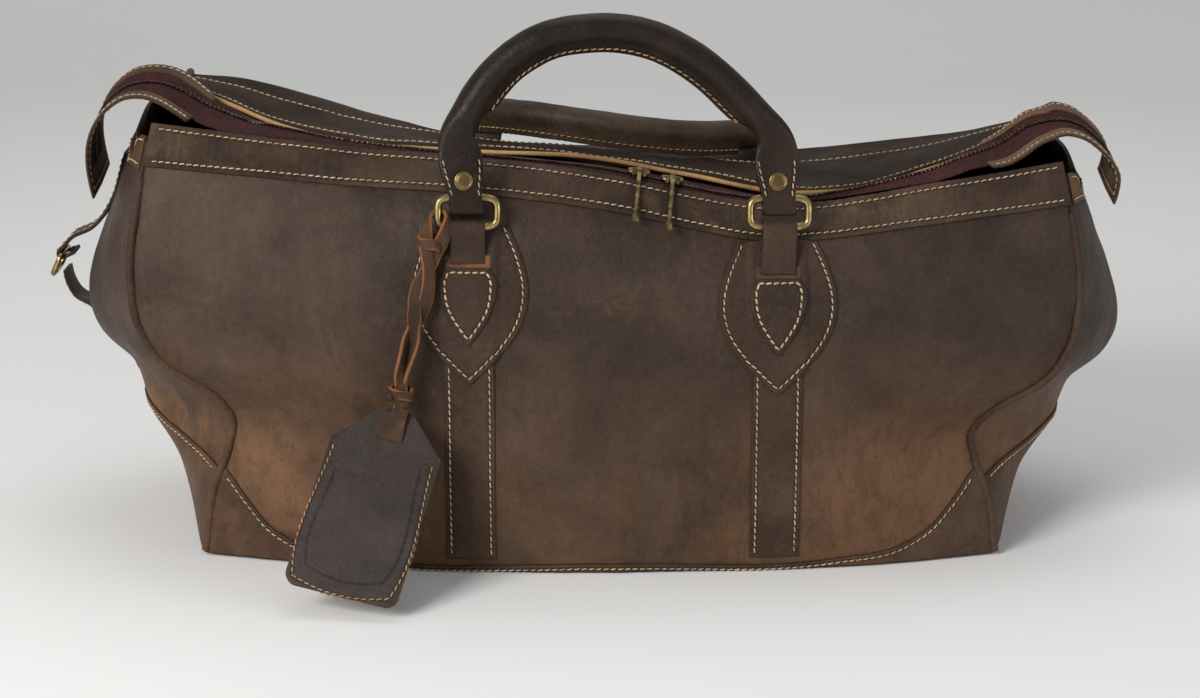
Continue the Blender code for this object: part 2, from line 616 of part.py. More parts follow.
def build_chapes(bars):
    """A strap loops round each ring's lower bar; its tail widens to a small shield on the big one."""
    half_hide = TRIM / 2
    bend = WIRE + LOOP_SPACE + half_hide
    for place, face, flip in FACES:
        away = 1 if flip else -1
        line = unit(bars[place][1] - bars[place][0]) * away
        for k, hand in enumerate(("left", "right")):
            x, bar = HANDLE_AT[k], bars[place][k]
            tip, shoulder = CHAPE_TIP[k], CHAPE_SHOULDER[k]
            if place == "back":
                shoulder = bar[2] - 0.016
                tip = shoulder - 0.042
            height = np.linspace(tip, shoulder, 7)
            here = np.full_like(height, x)
            lift = RAISED + TRIM + 2 * GAP + half_hide
            tail = face(here, height) + outward(face, here, height, flip) * lift
            across = (face(here + 0.01, height) - face(here - 0.01, height)) * away
            normal = outward(face, np.array([x]), np.array([bar[2] - 0.003]), flip)[0]
            up = np.cross(line, normal)
            bends = np.linspace(-0.45, math.pi, 8)
            arc = [bar + bend * (normal * math.cos(u) + up * math.sin(u)) for u in bends]
            hidden = [bar - normal * bend - up * d for d in (0.004, 0.008)]
            path = np.concatenate([tail, arc, hidden])
            widths = smooth(((0, 0.05), (0.25, 0.62), (0.6, 1.0), (1.0, 0.76)), np.linspace(0, 1, 7)) * 0.0143
            loop = 0.0086 if hand == "left" else 0.0095
            widths = np.append(widths, [loop] * 10)
            parts = [section(w, half_hide, corners=8, count=8) for w in widths]
            sides = np.concatenate([unit(across), np.tile(line, (10, 1))])
            sweep(f"{place}_{hand}_chape", path, sides, parts, material(*LEATHER_TRIM))


# ---------------------------------------------------------------- rings and handles
# Turns about X at rest, from upright: to the back below zero, to the front above it.
RING_TILT = {"front": math.radians(-9), "back": math.radians(52)}
HANDLE_TILT = {"front": math.radians(-11), "back": math.radians(84)}
# Middle of the grip, as (x from the middle between the rings, height over their upper bars).
HANDLE_PATH = (
    (-0.0863, 0.0075), (-0.0898, 0.0180), (-0.0915, 0.0290), (-0.0857, 0.0457), (-0.0755, 0.0620),
    (-0.0610, 0.0765), (-0.0420, 0.0872), (-0.0158, 0.0915), (-0.0005, 0.0912), (0.0160, 0.0875),
    (0.0440, 0.0725), (0.0605, 0.0580), (0.0736, 0.0443), (0.0840, 0.0302), (0.0885, 0.0180),
    (0.0870, 0.0075),
)
RIVET_UP = 0.0105  # height of the rivets over the upper bars
TAB_AT = 0.0022  # distance of a strap's loose end behind the middle of the handle
STRAP_AT = 0.0030  # distance of the strap in front of it
RIVET_HEAD = 0.0048
RIVET_SHANK = 0.0020
RIVET_TAIL = 0.0036
HANDLE_TAB = 0.0085  # half the width of a handle's strap ends
HANDLE_HIDE = 0.0012  # half their thickness
HANDLE_SLACK = {"front": 0.0040, "back": 0.0016}  # how far a loop hangs below its ring's bar


def ring_frames(bars):
    """Each pair of rings turns on one line through its two lower bars."""
    frames = {}
    for place, (left, right) in bars.items():
        frames[place] = frame_from((left + right) / 2, right - left)
    return frames


def build_rings(frames, bars):
    tops = {}
    for place, frame in frames.items():
        tilted = turned(frame, RING_TILT[place])
        inverse = np.array(frame.inverted())
        for hand, bar in zip(("left", "right"), bars[place]):
            middle = inverse[:3, :3] @ bar + inverse[:3, 3]
            turn = np.arange(20) * 2 * math.pi / 20 + math.pi / 20
            c, s = np.cos(turn), np.sin(turn)
            x = middle[0] + RING_WIDE / 2 * np.sign(c) * np.abs(c) ** 0.45
            z = RING_TALL / 2 * (1 + np.sign(s) * np.abs(s) ** 0.45)
            path = placed(tilted, np.stack([x, np.zeros_like(x), z], axis=1))
            across = np.array(tilted)[:3, 1]
            parts = [section(WIRE, WIRE, count=6)] * len(path)
            sweep(f"{place}_{hand}_ring", path, np.tile(across, (len(path), 1)), parts, material(*BRASS),
                  closed=True, frame=frame)
        tops[place] = tilted @ Matrix.Translation((0, 0, RING_TALL))
    return tops


def handle_section(flat, fin, height):
    """Oval grip with a sewn fin on its inner side; flat goes to 1 where it becomes a strap."""
    grip = section(0.0083, 0.0108, count=12)
    wide = blend(HANDLE_TAB, 0.0125, np.clip((height - 0.0100) / 0.010, 0, 1))
    strap = section(wide, 0.0024, corners=6, count=12)
    part = blend(grip, strap, flat)
    if fin > 0:
        part[0] += [0.0045 * fin, 0.0]
        part[-1] += [0.0045 * fin, 0.0]
        part[0, 1], part[-1, 1] = blend(part[0, 1], 0.0013, fin), blend(part[-1, 1], -0.0013, fin)
    return part


def build_handle(place, bars, ring_tops):
    """A strap end loops under each ring's upper bar, then the strap rolls into the grip."""
    upright = ring_tops[place]
    axes = np.array(upright)
    straight = frame_from(axes[:3, 3], axes[:3, 0])
    lean = HANDLE_TILT[place]
    frame = turned(straight, lean)
    inverse = np.array(frame.inverted())
    middle = [float((inverse[:3, :3] @ b + inverse[:3, 3])[0]) for b in bars[place]]
    bend = WIRE + LOOP_SPACE + HANDLE_HIDE
    slack = HANDLE_SLACK[place]
    around = np.linspace(math.pi, 2 * math.pi, 6)
    loop = [(0.0, TAB_AT, 0.022), (0.0, TAB_AT, 0.0062), (0.0, bend, 0.0022)]
    loop += [(0.0, -bend * math.cos(u), bend * math.sin(u) - slack) for u in around]
    loop += [(0.0, -bend, 0.0012)]
    outside = 1.0 if place == "front" else -1.0
    ends = np.array(loop) * [1, outside, 1]
    arch = np.array([(x, 0.0, z) for x, z in HANDLE_PATH])
    grip = through(arch, 27)
    share = np.linspace(0, 1, 27)
    near_end = np.minimum(share, 1 - share)
    grip[:, 1] = blend(-STRAP_AT * outside, 0.0, np.clip(near_end / 0.16, 0, 1))
    if place == "back":
        grip[:, 1] -= 0.11 * grip[:, 0] * np.clip((grip[:, 2] - 0.022) / 0.073, 0, 1)
    left = ends + [middle[0], 0, 0]
    right = ends[::-1] * [1, 1, 1] + [middle[1], 0, 0]
    grip[0, 0], grip[-1, 0] = middle
    path = np.concatenate([left, grip, right])
    along = unit(np.gradient(grip, axis=0))
    inward = np.cross(np.array([0.0, 1.0, 0.0]), along)
    facing = np.tile([1.0, 0, 0], (len(left), 1))
    sides = np.concatenate([facing, inward, -facing])
    flat = np.clip(1 - (near_end - 0.06) / 0.09, 0, 1)
    fin = np.clip((near_end - 0.17) / 0.02, 0, 1)
    tabs = [section(HANDLE_TAB, HANDLE_HIDE, corners=6, count=12)] * len(left)
    parts = tabs + [handle_section(f, g, z) for f, g, z in zip(flat, fin, grip[:, 2])] + tabs
    handle = sweep(f"{place}_handle", placed(frame, path), sides @ np.array(frame)[:3, :3].T, parts,
                   material(*LEATHER_HANDLE), frame=frame)
    for hand, x in zip(("left", "right"), (middle[0] - 0.0008, middle[1] + 0.0008)):
        head = outside * -(STRAP_AT + 0.0024 + GAP)
        tail = outside * (TAB_AT + HANDLE_HIDE + GAP)
        build_rivet(f"{place}_{hand}_rivet", frame, (x, RIVET_UP), head, tail, handle)
    return frame


def build_rivet(name, frame, at, head, tail, handle):
    """A domed rivet through both layers of a strap end; head and tail are the y of its two seats."""
    out = 1 if head > tail else -1
    profile = [
        (0.0, head + out * 0.0017), (0.0028, head + out * 0.0014), (RIVET_HEAD, head + out * 0.0006),
        (RIVET_HEAD, head), (RIVET_SHANK, head), (RIVET_SHANK, tail), (RIVET_TAIL, tail),
        (RIVET_TAIL, tail - out * 0.0009), (0.0, tail - out * 0.0009),
    ]
    turned_solid(name, profile, at, material(*BRASS), frame)
    reach = 0.004
    bore = RIVET_SHANK + GAP
    ends = (head + out * reach, tail - out * reach)
    hole = [(0.0, ends[0]), (bore, ends[0]), (bore, ends[1]), (0.0, ends[1])]
    cutter = turned_solid(f"{name}_hole", hole, at, material(*BRASS), frame)
    cutter.hide_render = True
    cutter.display_type = "WIRE"
    cut = handle.modifiers.new(f"{name}_hole", "BOOLEAN")
    cut.operation = "DIFFERENCE"
    cut.object = cutter


def turned_solid(name, profile, at, finish, frame, count=12):
    """Turns (radius, y) points about the frame's Y through at, an (x, z) place."""
    points, rings = [], []
    for radius, y in profile:
        if radius == 0:
            rings.append([len(points)])
            points.append((at[0], y, at[1]))
            continue
        rings.append(list(range(len(points), len(points) + count)))
        for k in range(count):
            turn = 2 * math.pi * k / count
            points.append((at[0] + radius * math.cos(turn), y, at[1] + radius * math.sin(turn)))
    faces = []
    for a, b in zip(rings, rings[1:]):
        for k in range(count):
            n = (k + 1) % count
            if len(a) == 1:
                faces.append([a[0], b[k], b[n]])
            elif len(b) == 1:
                faces.append([a[n], a[k], b[0]])
            else:
                faces.append([a[n], a[k], b[k], b[n]])
    return add_object(name, placed(frame, points), faces, finish, frame)


# ---------------------------------------------------------------- zip sliders and pulls
SLIDER_AT = (0.0213, 0.0398)  # x of the left and right slider, meeting head to head
PULL_LONG = 0.041
PULL_HALF = 0.0008  # half its thickness
TRAVEL = 0.055  # how far along x each slider's way is taken as straight
PULL_HINGE = (0.0, -0.0056, 0.0042)  # between the ears, in the slider's frame
# A cell's four walls: the neighbour beyond each, and its two lower corners.
WALLS = (
    (0, -1, (0, 0), (1, 0)), (1, 0, (1, 0), (1, 1)),
    (0, 1, (1, 1), (0, 1)), (-1, 0, (0, 1), (0, 0)),
)


def stepped(name, xs, ys, heights, finish, frame, low=0.0):
    """A block on a grid of cells, each with its own height over low."""
    heights = np.array(heights, float)
    points, index, faces = [], {}, []

    def corner(i, j, z):
        key = (i, j, round(z, 6))
        if key not in index:
            index[key] = len(points)
            points.append((xs[i], ys[j], z))
        return index[key]

    rows, columns = heights.shape
    levels = sorted({low, *heights.ravel().tolist()})
    for i in range(rows):
        for j in range(columns):
            top = heights[i, j]
            if top <= low:
                continue
            around = [(i, j), (i + 1, j), (i + 1, j + 1), (i, j + 1)]
            faces.append([corner(*at, top) for at in around])
            faces.append([corner(*at, low) for at in around[::-1]])
            for di, dj, a, b in WALLS:
                ni, nj = i + di, j + dj
                other = heights[ni, nj] if 0 <= ni < rows and 0 <= nj < columns else low
                steps = [z for z in levels if max(other, low) <= z <= top]
                start, end = (i + a[0], j + a[1]), (i + b[0], j + b[1])
                for below, above in zip(steps, steps[1:]):
                    faces.append([corner(*start, below), corner(*end, below), corner(*end, above),
                                  corner(*start, above)])
    return add_object(name, placed(frame, points), faces, finish, frame, smooth_angle=20)


def slider_frame(surface, x, way):
    """On the teeth at x, with X along the straight line that the slider follows away from the middle."""
    a = np.linspace(0.2, 0.8, 400)
    teeth = surface(a, np.full_like(a, 0.5))
    here = np.array([np.interp(x, teeth[:, 0], teeth[:, k]) for k in range(3)])
    there = np.array([np.interp(x + way * TRAVEL, teeth[:, 0], teeth[:, k]) for k in range(3)])
    along = unit(there - here) * way
    place = np.array([np.interp(x, teeth[:, 0], a)])
    return frame_from(here, along, z_hint=outward(surface, place, np.array([0.45]))[0])


def build_sliders(surface):
    """Each slider is a low block over the teeth with two ears; its pull hangs between them, over the band."""
    xs = (-0.0062, -0.0038, -0.0022, 0.0022, 0.0038, 0.0062)
    ys = (-0.0068, -0.0044, 0.0000, 0.0040)
    low, body, crown, ear = 0.0017, 0.0040, 0.0049, 0.0056
    heights = [
        [low, body, body],
        [ear, body, body],
        [low, body, crown],
        [ear, body, body],
        [low, body, body],
    ]
    for hand, x, way in zip(("left", "right"), SLIDER_AT, (-1, 1)):
        frame = slider_frame(surface, x, way)
        stepped(f"{hand}_zip_slider", xs, ys, heights, material(*BRASS), frame, low=low)
        build_pull(f"{hand}_zip_pull", pull_frame(frame))


def pull_frame(slider):
    """Hinged between the ears, as far down as the pull can hang before it meets the band."""
    hinge = placed(slider, [PULL_HINGE])[0]
    axis = np.array(slider)[:3, 0]
    forward = unit(np.cross(axis, [0.0, 0.0, 1.0]))
    reach = np.linspace(0.006, PULL_LONG, 12)
    for angle in np.radians(np.arange(5.0, 80.0, 0.5)):
        down = forward * math.cos(angle) - np.cross(forward, axis) * math.sin(angle)
        run = hinge + np.outer(reach, down)
        height = np.minimum(run[:, 2], front_edge(run[:, 0]) * 0.995)
        skin = on_front(run[:, 0], height)
        air = np.sum((run - skin) * outward(on_front, run[:, 0], height), axis=1)
        if air.min() < LIFT + TRIM + PULL_HALF + 2 * GAP:
            break
        rest = down
    return frame_from(hinge, axis, z_hint=-rest)


def build_pull(name, frame):
    """A flat bar with a cross head between the slider's ears and a wider, bent tip."""
    outline = [
        (-0.0019, 0.0008), (-0.0019, -0.0016), (-0.0013, -0.0035), (-0.0013, 0.005 - PULL_LONG),
        (-0.0021, 0.002 - PULL_LONG), (-0.0021, -PULL_LONG),
    ]
    outline += [(-x, z) for x, z in outline[::-1]]
    prism(name, outline, 2 * PULL_HALF, material(*BRASS), frame)


# ---------------------------------------------------------------- the luggage tag
KNOT = np.array([-0.1090, -0.1510, 0.1050])
SLOT = np.array([-0.1146, -0.1545, 0.0860])  # middle of the tag's slot
TAG_ACROSS = (0.066, -0.015, -0.0115)
TAG_DOWN = (-0.0175, -0.0655, -0.0865)
TAG_HALF = 0.0315
TAG_LOW, TAG_SHOULDER, TAG_TOP = -0.0945, -0.0080, 0.0150  # heights against the slot
TAG_TOP_HALF = 0.0095
TAG_LAYER = 0.0020
SLOT_HALF = (0.0090, 0.0022)
WINDOW = (0.0225, -0.0820, -0.0180)  # half width, bottom and top of the front layer's window
FLAP_GAP = 0.0007
TAB_HALF = 0.0075
# The thong's two strands: x and y off the straight line down to the knot, and height under its start.
STRANDS = (
    (-0.0040, -0.0040, -0.092), (-0.0052, -0.0052, -0.060), (-0.0050, -0.0052, -0.030),
    (-0.0054, -0.0042, -0.010), (-0.0054, 0.0004, -0.0010), (0.0, 0.0056, 0.0014),
    (0.0054, 0.0000, -0.0010), (0.0030, -0.0076, -0.010), (0.0014, -0.0062, -0.030),
    (0.0014, -0.0056, -0.060), (0.0020, -0.0040, -0.0885),
)
THONG_STEPS = 40


def rounded(corners, radius, steps=3):
    """An outline whose corners are cut by short arcs."""
    corners = np.array(corners, float)
    outline = []
    for k, here in enumerate(corners):
        before = unit(corners[k - 1] - here)
        after = unit(corners[(k + 1) % len(corners)] - here)
        reach = radius if np.isscalar(radius) else radius[k]
        for u in np.linspace(0, 1, steps):
            a, b = here + before * reach * (1 - u), here + after * reach * u
            outline.append(tuple(blend(a, b, u)))
    return outline


def tag_outline():
    corners = [(-TAG_TOP_HALF, TAG_TOP), (-TAG_HALF, TAG_SHOULDER), (-TAG_HALF, TAG_LOW)]
    corners += [(-x, z) for x, z in corners[::-1]]
    return rounded(corners, (0.002, 0.004, 0.006, 0.006, 0.004, 0.002))


def window_outline(inset):
    """The window in the tag's front layer, or the flap in it where inset is its gap all round."""
    half, low, high = WINDOW[0] - inset, WINDOW[1] + inset, WINDOW[2] - inset
    return rounded([(-half, low), (half, low), (half, high), (-half, high)], 0.005)


def build_tag():
    """Two layers, a flap in the front one's window, and the tab that hangs them on the knot."""
    frame = frame_from(SLOT, TAG_ACROSS, z_hint=-np.array(TAG_DOWN))
    home = frame_from(KNOT, TAG_ACROSS, z_hint=-np.array(TAG_DOWN))
    half, tall = SLOT_HALF
    slot = rounded([(-half, -tall), (half, -tall), (half, tall), (-half, tall)], 0.001, steps=2)
    behind = frame @ Matrix.Translation((0, TAG_LAYER / 2 + GAP / 2, 0))
    before = frame @ Matrix.Translation((0, -TAG_LAYER / 2 - GAP / 2, 0))
    finish = material(*LEATHER_TAG)
    prism("tag_back", tag_outline(), TAG_LAYER, finish, behind, (slot,), home)
    prism("tag_front", tag_outline(), TAG_LAYER, finish, before, (slot, window_outline(0)), home)
    prism("tag_window_flap", window_outline(FLAP_GAP), TAG_LAYER * 0.8, finish, before, (), home)
    off = TAG_LAYER + 0.0022
    local = [
        (0.0034, -off - 0.0006, 0.0125), (0.0012, -off, 0.0085), (0, -off, 0.003), (0, -0.0030, 0.0),
        (0, 0, -0.0008), (0, 0.0030, 0.0), (0, off, 0.003), (0, off, 0.010),
    ]
    tab = placed(frame, local)
    widths = (0.53 * TAB_HALF, 0.91 * TAB_HALF) + (TAB_HALF,) * (len(local) - 2)
    parts = [section(w, 0.0009, corners=6, count=8) for w in widths]
    across = np.tile(np.array(frame)[:3, 0], (len(tab), 1))
    sweep("tag_tab", tab, across, parts, material(*LEATHER_TAN), frame=home)


def thong_start(bars, tops):
    """Where the thong rounds the left ring: the middle of the ring's outer leg."""
    across = bars["front"][1] - bars["front"][0]
    middle = placed(tops["front"], [(0.0, 0.0, -0.6 * RING_TALL)])[0]
    return middle - across / 2 - unit(across) * RING_WIDE / 2


def build_thong(leg):
    """A lace round the left ring's leg, both strands running down to one knot over the tag."""
    offsets = np.array(STRANDS)
    down = KNOT - leg
    share = np.clip(offsets[:, 2] / down[2], 0, 1)
    path = leg + offsets + np.outer(share, down) * [1, 1, 0]
    knot = [KNOT + [0.0006, -0.0006, 0.0030], KNOT + [0, 0, -0.0012], KNOT - [0.0006, 0, 0.0042]]
    thong = through(np.concatenate([path, knot]), THONG_STEPS)
    run = np.linspace(0, 1, THONG_STEPS)
    swelling = np.exp(-(((run - 0.972) / 0.022) ** 2))
    parts = [section(0.0019 + 0.0030 * k, 0.0012 + 0.0026 * k, count=8) for k in swelling]
    sweep("tag_thong", thong, transported(thong, (1.0, 0.0, 0.0)), parts, material(*LEATHER_TAN),
          frame=frame_from(leg, (1, 0, 0)))


def transported(centres, first):
    """Side vectors that turn as little as they can along a curve, from first."""
    along = unit(np.gradient(centres, axis=0))
    sides = [np.array(first, float)]
    for t in along:
        kept = sides[-1] - t * np.dot(sides[-1], t)
        sides.append(kept / np.linalg.norm(kept))
    return np.array(sides[1:])


# ---------------------------------------------------------------- lining and side strap
def build_lining():
    """A cotton bag inside the shell, open at the top below the zip."""
    long, deep = HALF * 0.655, DEEP * 0.86
    turn = np.linspace(0, 2 * math.pi, 25)[:-1]
    c, s = np.cos(turn), np.sin(turn)
    outline = np.stack([np.sign(c) * np.abs(c) ** 0.66, np.sign(s) * np.abs(s) ** 0.66], axis=1)
    levels = ((0.9, 0.0075), (1.0, 0.030), (1.0, 0.120), (0.93, 0.180))
    wall = 0.0012
    rings = []
    for scale, z in levels:
        rings.append([(long * scale * x, deep * scale * y, z) for x, y in outline])
    for scale, z in levels[::-1]:
        z_in = max(z, levels[0][1] + wall)
        rings.append([((long * scale - wall) * x, (deep * scale - wall) * y, z_in) for x, y in outline])
    count = len(outline)
    points = [p for ring in rings for p in ring]
    faces = []
    for i in range(len(rings) - 1):
        for k in range(count):
            n = (k + 1) % count
            faces.append([i * count + k, i * count + n, (i + 1) * count + n, (i + 1) * count + k])
    faces += [list(range(count))[::-1], [(len(rings) - 1) * count + k for k in range(count)]]
    add_object("lining", points, faces, material(*LINING))


BUCKLE_BAR = np.array([-0.3185, 0.012, 0.1545])
SIDE_HALF = 0.0110  # half the width of the side strap
# From the gusset to its two loose ends: x against the buckle's bar and height.
STRAP_RUN = ((0.0175, 0.0150), (0.0060, 0.0095))
TONGUE_RUN = ((0.0060, -0.0245), (0.0020, -0.0160), (0.0010, -0.0105))
STRAP_SEWN = (0.80, 0.755, 0.71)  # heights as shares of the gusset
TONGUE_SEWN = (0.36, 0.42, 0.47)
BUCKLE_LEAN = (0.42, 0, 0.90)
BUCKLE_HALF = 0.0142
BUCKLE_TALL = 0.0136
BUCKLE_WIRE = 0.0016


def side_skin(across, high):
    return end_surface(-1, across, high)


def sewn_run(sewn, run, lift):
    """Points on the gusset where a strap is sewn, then along its loose run."""
    high = np.array(sewn)
    across = np.full_like(high, BUCKLE_BAR[1] / (0.75 * DEEP))
    on = side_skin(across, high) + outward(side_skin, across, high, True) * lift
    return np.concatenate([on, [BUCKLE_BAR + [x, 0, z] for x, z in run]])


def build_side_strap():
    """A strap on the left end folds round a buckle's bar; a stitched tongue rises to it from below."""
    lift = LIFT + TRIM / 2 + GAP
    bend = BUCKLE_WIRE + LOOP_SPACE + TRIM / 2
    turn = np.linspace(math.radians(120), math.radians(300), 7)
    arc = [BUCKLE_BAR + bend * np.array([math.cos(u), 0, math.sin(u)]) for u in turn]
    end = BUCKLE_BAR + [0.0068, 0, 0.0004]
    strap = np.concatenate([sewn_run(STRAP_SEWN, STRAP_RUN, lift), arc, [end]])
    tongue = sewn_run(TONGUE_SEWN, TONGUE_RUN, lift + 2 * LIFT)
    part = section(SIDE_HALF, TRIM / 2, corners=8, count=8)
    for name, path in (("side_strap", strap), ("side_tongue", tongue)):
        sides = np.tile([0.0, 1.0, 0.0], (len(path), 1))
        sweep(name, path, sides, [part] * len(path), material(*LEATHER_TRIM))
    frame = frame_from(BUCKLE_BAR, (0, 1, 0), z_hint=BUCKLE_LEAN)
    turn = np.arange(20) * 2 * math.pi / 20 + math.pi / 20
    c, s = np.cos(turn), np.sin(turn)
    x = BUCKLE_HALF * np.sign(c) * np.abs(c) ** 0.4
    z = BUCKLE_TALL / 2 * (np.sign(s) * np.abs(s) ** 0.4 - 1)
    loop = placed(frame, np.stack([x, np.zeros_like(x), z], axis=1))
    parts = [section(BUCKLE_WIRE, BUCKLE_WIRE, count=6)] * len(loop)
    sweep("side_buckle", loop, np.tile(np.array(frame)[:3, 1], (len(loop), 1)), parts, material(*BRASS),
          closed=True, frame=frame)


def main():
    for old in list(bpy.data.objects):
        bpy.data.objects.remove(old, do_unlink=True)
    build_panels()
    build_base()
    build_boots()
    build_piping()
    build_bands()
    surface = zip_surface(zip_lines())
    build_zip(surface)
    build_zip_tails(surface)
    build_straps_and_shields()
    bars = bar_places()
    build_chapes(bars)
    frames = ring_frames(bars)
    tops = build_rings(frames, bars)
    for place in ("front", "back"):
        build_handle(place, bars, tops)
    build_sliders(surface)
    build_tag()
    build_thong(thong_start(bars, tops))
    build_lining()
    build_side_strap()


main()
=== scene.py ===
"""Looks of the leather weekender bag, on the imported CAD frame.

Metres, +Z up, front towards -Y. The surfaces repeat the CAD's own, with finer steps, soft relief, stitching,
separate zip teeth and worn leather.
"""

import math

import bmesh
import bpy
import numpy as np
from mathutils import Matrix, Vector
from mathutils.kdtree import KDTree


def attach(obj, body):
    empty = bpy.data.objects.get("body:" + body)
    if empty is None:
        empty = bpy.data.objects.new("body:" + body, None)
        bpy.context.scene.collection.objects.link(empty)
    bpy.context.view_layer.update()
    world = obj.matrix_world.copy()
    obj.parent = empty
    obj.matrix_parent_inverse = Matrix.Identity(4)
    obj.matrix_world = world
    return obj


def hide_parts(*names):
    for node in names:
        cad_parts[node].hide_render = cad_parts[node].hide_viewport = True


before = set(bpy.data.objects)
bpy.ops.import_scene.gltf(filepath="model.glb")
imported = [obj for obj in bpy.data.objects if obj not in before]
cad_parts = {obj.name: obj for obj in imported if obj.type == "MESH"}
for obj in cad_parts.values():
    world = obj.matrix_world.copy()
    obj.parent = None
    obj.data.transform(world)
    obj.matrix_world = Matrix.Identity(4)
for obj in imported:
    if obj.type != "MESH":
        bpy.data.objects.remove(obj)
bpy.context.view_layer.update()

# ---------------------------------------------------------------- driving dimensions
HALF = 0.300  # half the length, over the bulging ends
DEEP = 0.140  # half the depth, at the widest
TALL = 0.2475  # height of the front edge at its left end
LEAN = 0.0045  # how far the top edge sits to the right of the base

HIDE = 0.0022  # thickness of the body leather
TRIM = 0.0014  # thickness of bands, straps and boots
PIPING = 0.0024  # radius of the corner cords with their leather
GAP = 0.0003  # air kept between touching pieces
LIFT = 0.0008  # height of an overlay over the faceted skin under it
RAISED = LIFT + TRIM + GAP  # height over the panel of a piece that lies on a strap

HANDLE_AT = (-0.0717, 0.0975)  # x of the left and right handle fittings
WIRE = 0.0020  # radius of the ring wire
RING_WIDE = 0.0322
RING_TALL = 0.0160
LOOP_SPACE = 0.0011  # air between a ring and the leather round it

# ---------------------------------------------------------------- profiles
# Pairs are (place, value). Heights are shares of TALL, lengths of HALF and depths of DEEP.
FRONT_EDGE = ((-0.85, 1.0), (-0.52, 0.957), (0.0, 0.893), (0.33, 0.824), (0.58, 0.859), (0.88, 0.913))
RIDGE = (
    (-0.83, 1.015), (-0.73, 1.0), (-0.57, 0.95), (-0.43, 0.90), (-0.33, 0.874),
    (-0.2, 0.846), (0.0, 0.828), (0.4, 0.826), (0.55, 0.845), (0.75, 0.874), (0.86, 0.897),
)
BINDING_HEIGHT = (
    (-0.83, 1.022), (-0.74, 0.996), (-0.64, 0.958), (-0.48, 0.921), (-0.3, 0.909),
    (0.0, 0.893), (0.2, 0.852), (0.34, 0.822), (0.47, 0.822), (0.63, 0.857), (0.765, 0.90), (0.83, 0.917),
)
BINDING_DEPTH = (
    (-0.83, 0.14), (-0.74, 0.0), (-0.64, -0.13), (-0.48, -0.257), (-0.3, -0.32), (0.0, -0.371),
    (0.2, -0.414), (0.34, -0.429), (0.47, -0.393), (0.63, -0.27), (0.765, -0.086), (0.83, 0.036),
)
SEAM_LENGTH = (
    (0.0, 0.752), (0.15, 0.735), (0.26, 0.707), (0.33, 0.700), (0.40, 0.745), (0.46, 0.820),
    (0.54, 0.862), (0.66, 0.880), (0.85, 0.868), (1.0, 0.847),
)
SEAM_DEPTH = ((0.0, 0.70), (0.15, 0.68), (0.33, 0.66), (0.45, 0.74), (0.6, 0.78), (0.8, 0.70), (1.0, 0.58))
FRONT_DEPTH = (
    (0.0, 0.93), (0.2, 0.985), (0.4, 1.0), (0.6, 1.0), (0.8, 0.965), (0.9, 0.885), (0.95, 0.81), (1.0, 0.69),
)
BACK_SEAM_DEPTH = ((0.0, 0.70), (0.2, 0.66), (0.35, 0.70), (0.5, 0.76), (0.65, 0.71), (0.8, 0.57))
BACK_DEPTH = ((0.0, 0.88), (0.2, 0.95), (0.4, 0.96), (0.6, 0.88), (0.72, 0.745), (0.8, 0.57))
BACK_RISE = ((0.0, 0.0), (0.2, 0.27), (0.4, 0.55), (0.6, 0.83), (0.72, 0.96), (0.8, 1.0))
RIDGE_V = 0.8  # place along the back profile where it turns over the top
END_BULGE = (
    (0.0, 0.040), (0.16, 0.100), (0.31, 0.205), (0.42, 0.170), (0.52, 0.145), (0.57, 0.130),
    (0.65, 0.106), (0.74, 0.084), (0.85, 0.070), (1.0, 0.054),
)
END_DIP = 0.028  # how far the middle of a gusset's top edge hangs down
BOOT_EDGE = (
    (0.0, 0.0060), (0.45, 0.0062), (0.57, 0.0115), (0.63, 0.021), (0.68, 0.035), (0.74, 0.050), (0.8, 0.058),
)
SHIELD_SHAPE = ((0.0, 0.04), (0.12, 0.36), (0.3, 0.76), (0.5, 0.98), (0.65, 1.0), (0.85, 0.86), (1.0, 0.68))
SHIELD_HALF = 0.0325
SHIELD_TIP = (0.112, 0.106)  # heights of the left and right tips
SHIELD_PEAK = {"front": (0.197, 0.187), "back": (0.194, 0.188)}  # heights of their tops
CHAPE_TIP = (0.134, 0.128)
CHAPE_SHOULDER = (0.176, 0.168)
BAR_HEIGHT = (0.195, 0.189)  # heights of the ring bars in the front chapes
BACK_BAR_V = 0.735  # place of the rear chapes' bars along the back profile
STRAP_HALF = 0.0137
BAND = 0.0240
BACK_BAND_V = 0.872  # where the top panel's band ends, along the back profile


def smooth(knots, x):
    """Reads a smooth curve through the (place, value) pairs at x."""
    at, value = np.array(knots, float).T
    x = np.clip(np.asarray(x, float), at[0], at[-1])
    slope = np.gradient(value, at)
    i = np.clip(np.searchsorted(at, x) - 1, 0, len(at) - 2)
    step = at[i + 1] - at[i]
    u = (x - at[i]) / step
    return (
        (2 * u**3 - 3 * u**2 + 1) * value[i]
        + (u**3 - 2 * u**2 + u) * step * slope[i]
        + (3 * u**2 - 2 * u**3) * value[i + 1]
        + (u**3 - u**2) * step * slope[i + 1]
    )


def distances(points):
    """How far along the points each one lies."""
    return np.concatenate([[0], np.cumsum(np.linalg.norm(np.diff(points, axis=0), axis=1))])


def read_at(line, run, at):
    """Points of the line at the places at, where run holds the places of its own points."""
    return np.stack([np.interp(at, run, line[:, k]) for k in range(3)], axis=-1)


def eased(share):
    """A share from 0 to 1 that starts and stops softly."""
    return share * share * (3 - 2 * share)


def share_of(value, start, span):
    """How far value has come from start over span, from 0 to 1."""
    return np.clip((value - start) / span, 0, 1)


def through(points, count):
    """Evenly placed points on a smooth curve through the given ones."""
    points = np.array(points, float)
    run = distances(points)
    at = np.linspace(0, run[-1], count)
    return np.stack([smooth(list(zip(run, points[:, k])), at) for k in range(3)], axis=1)


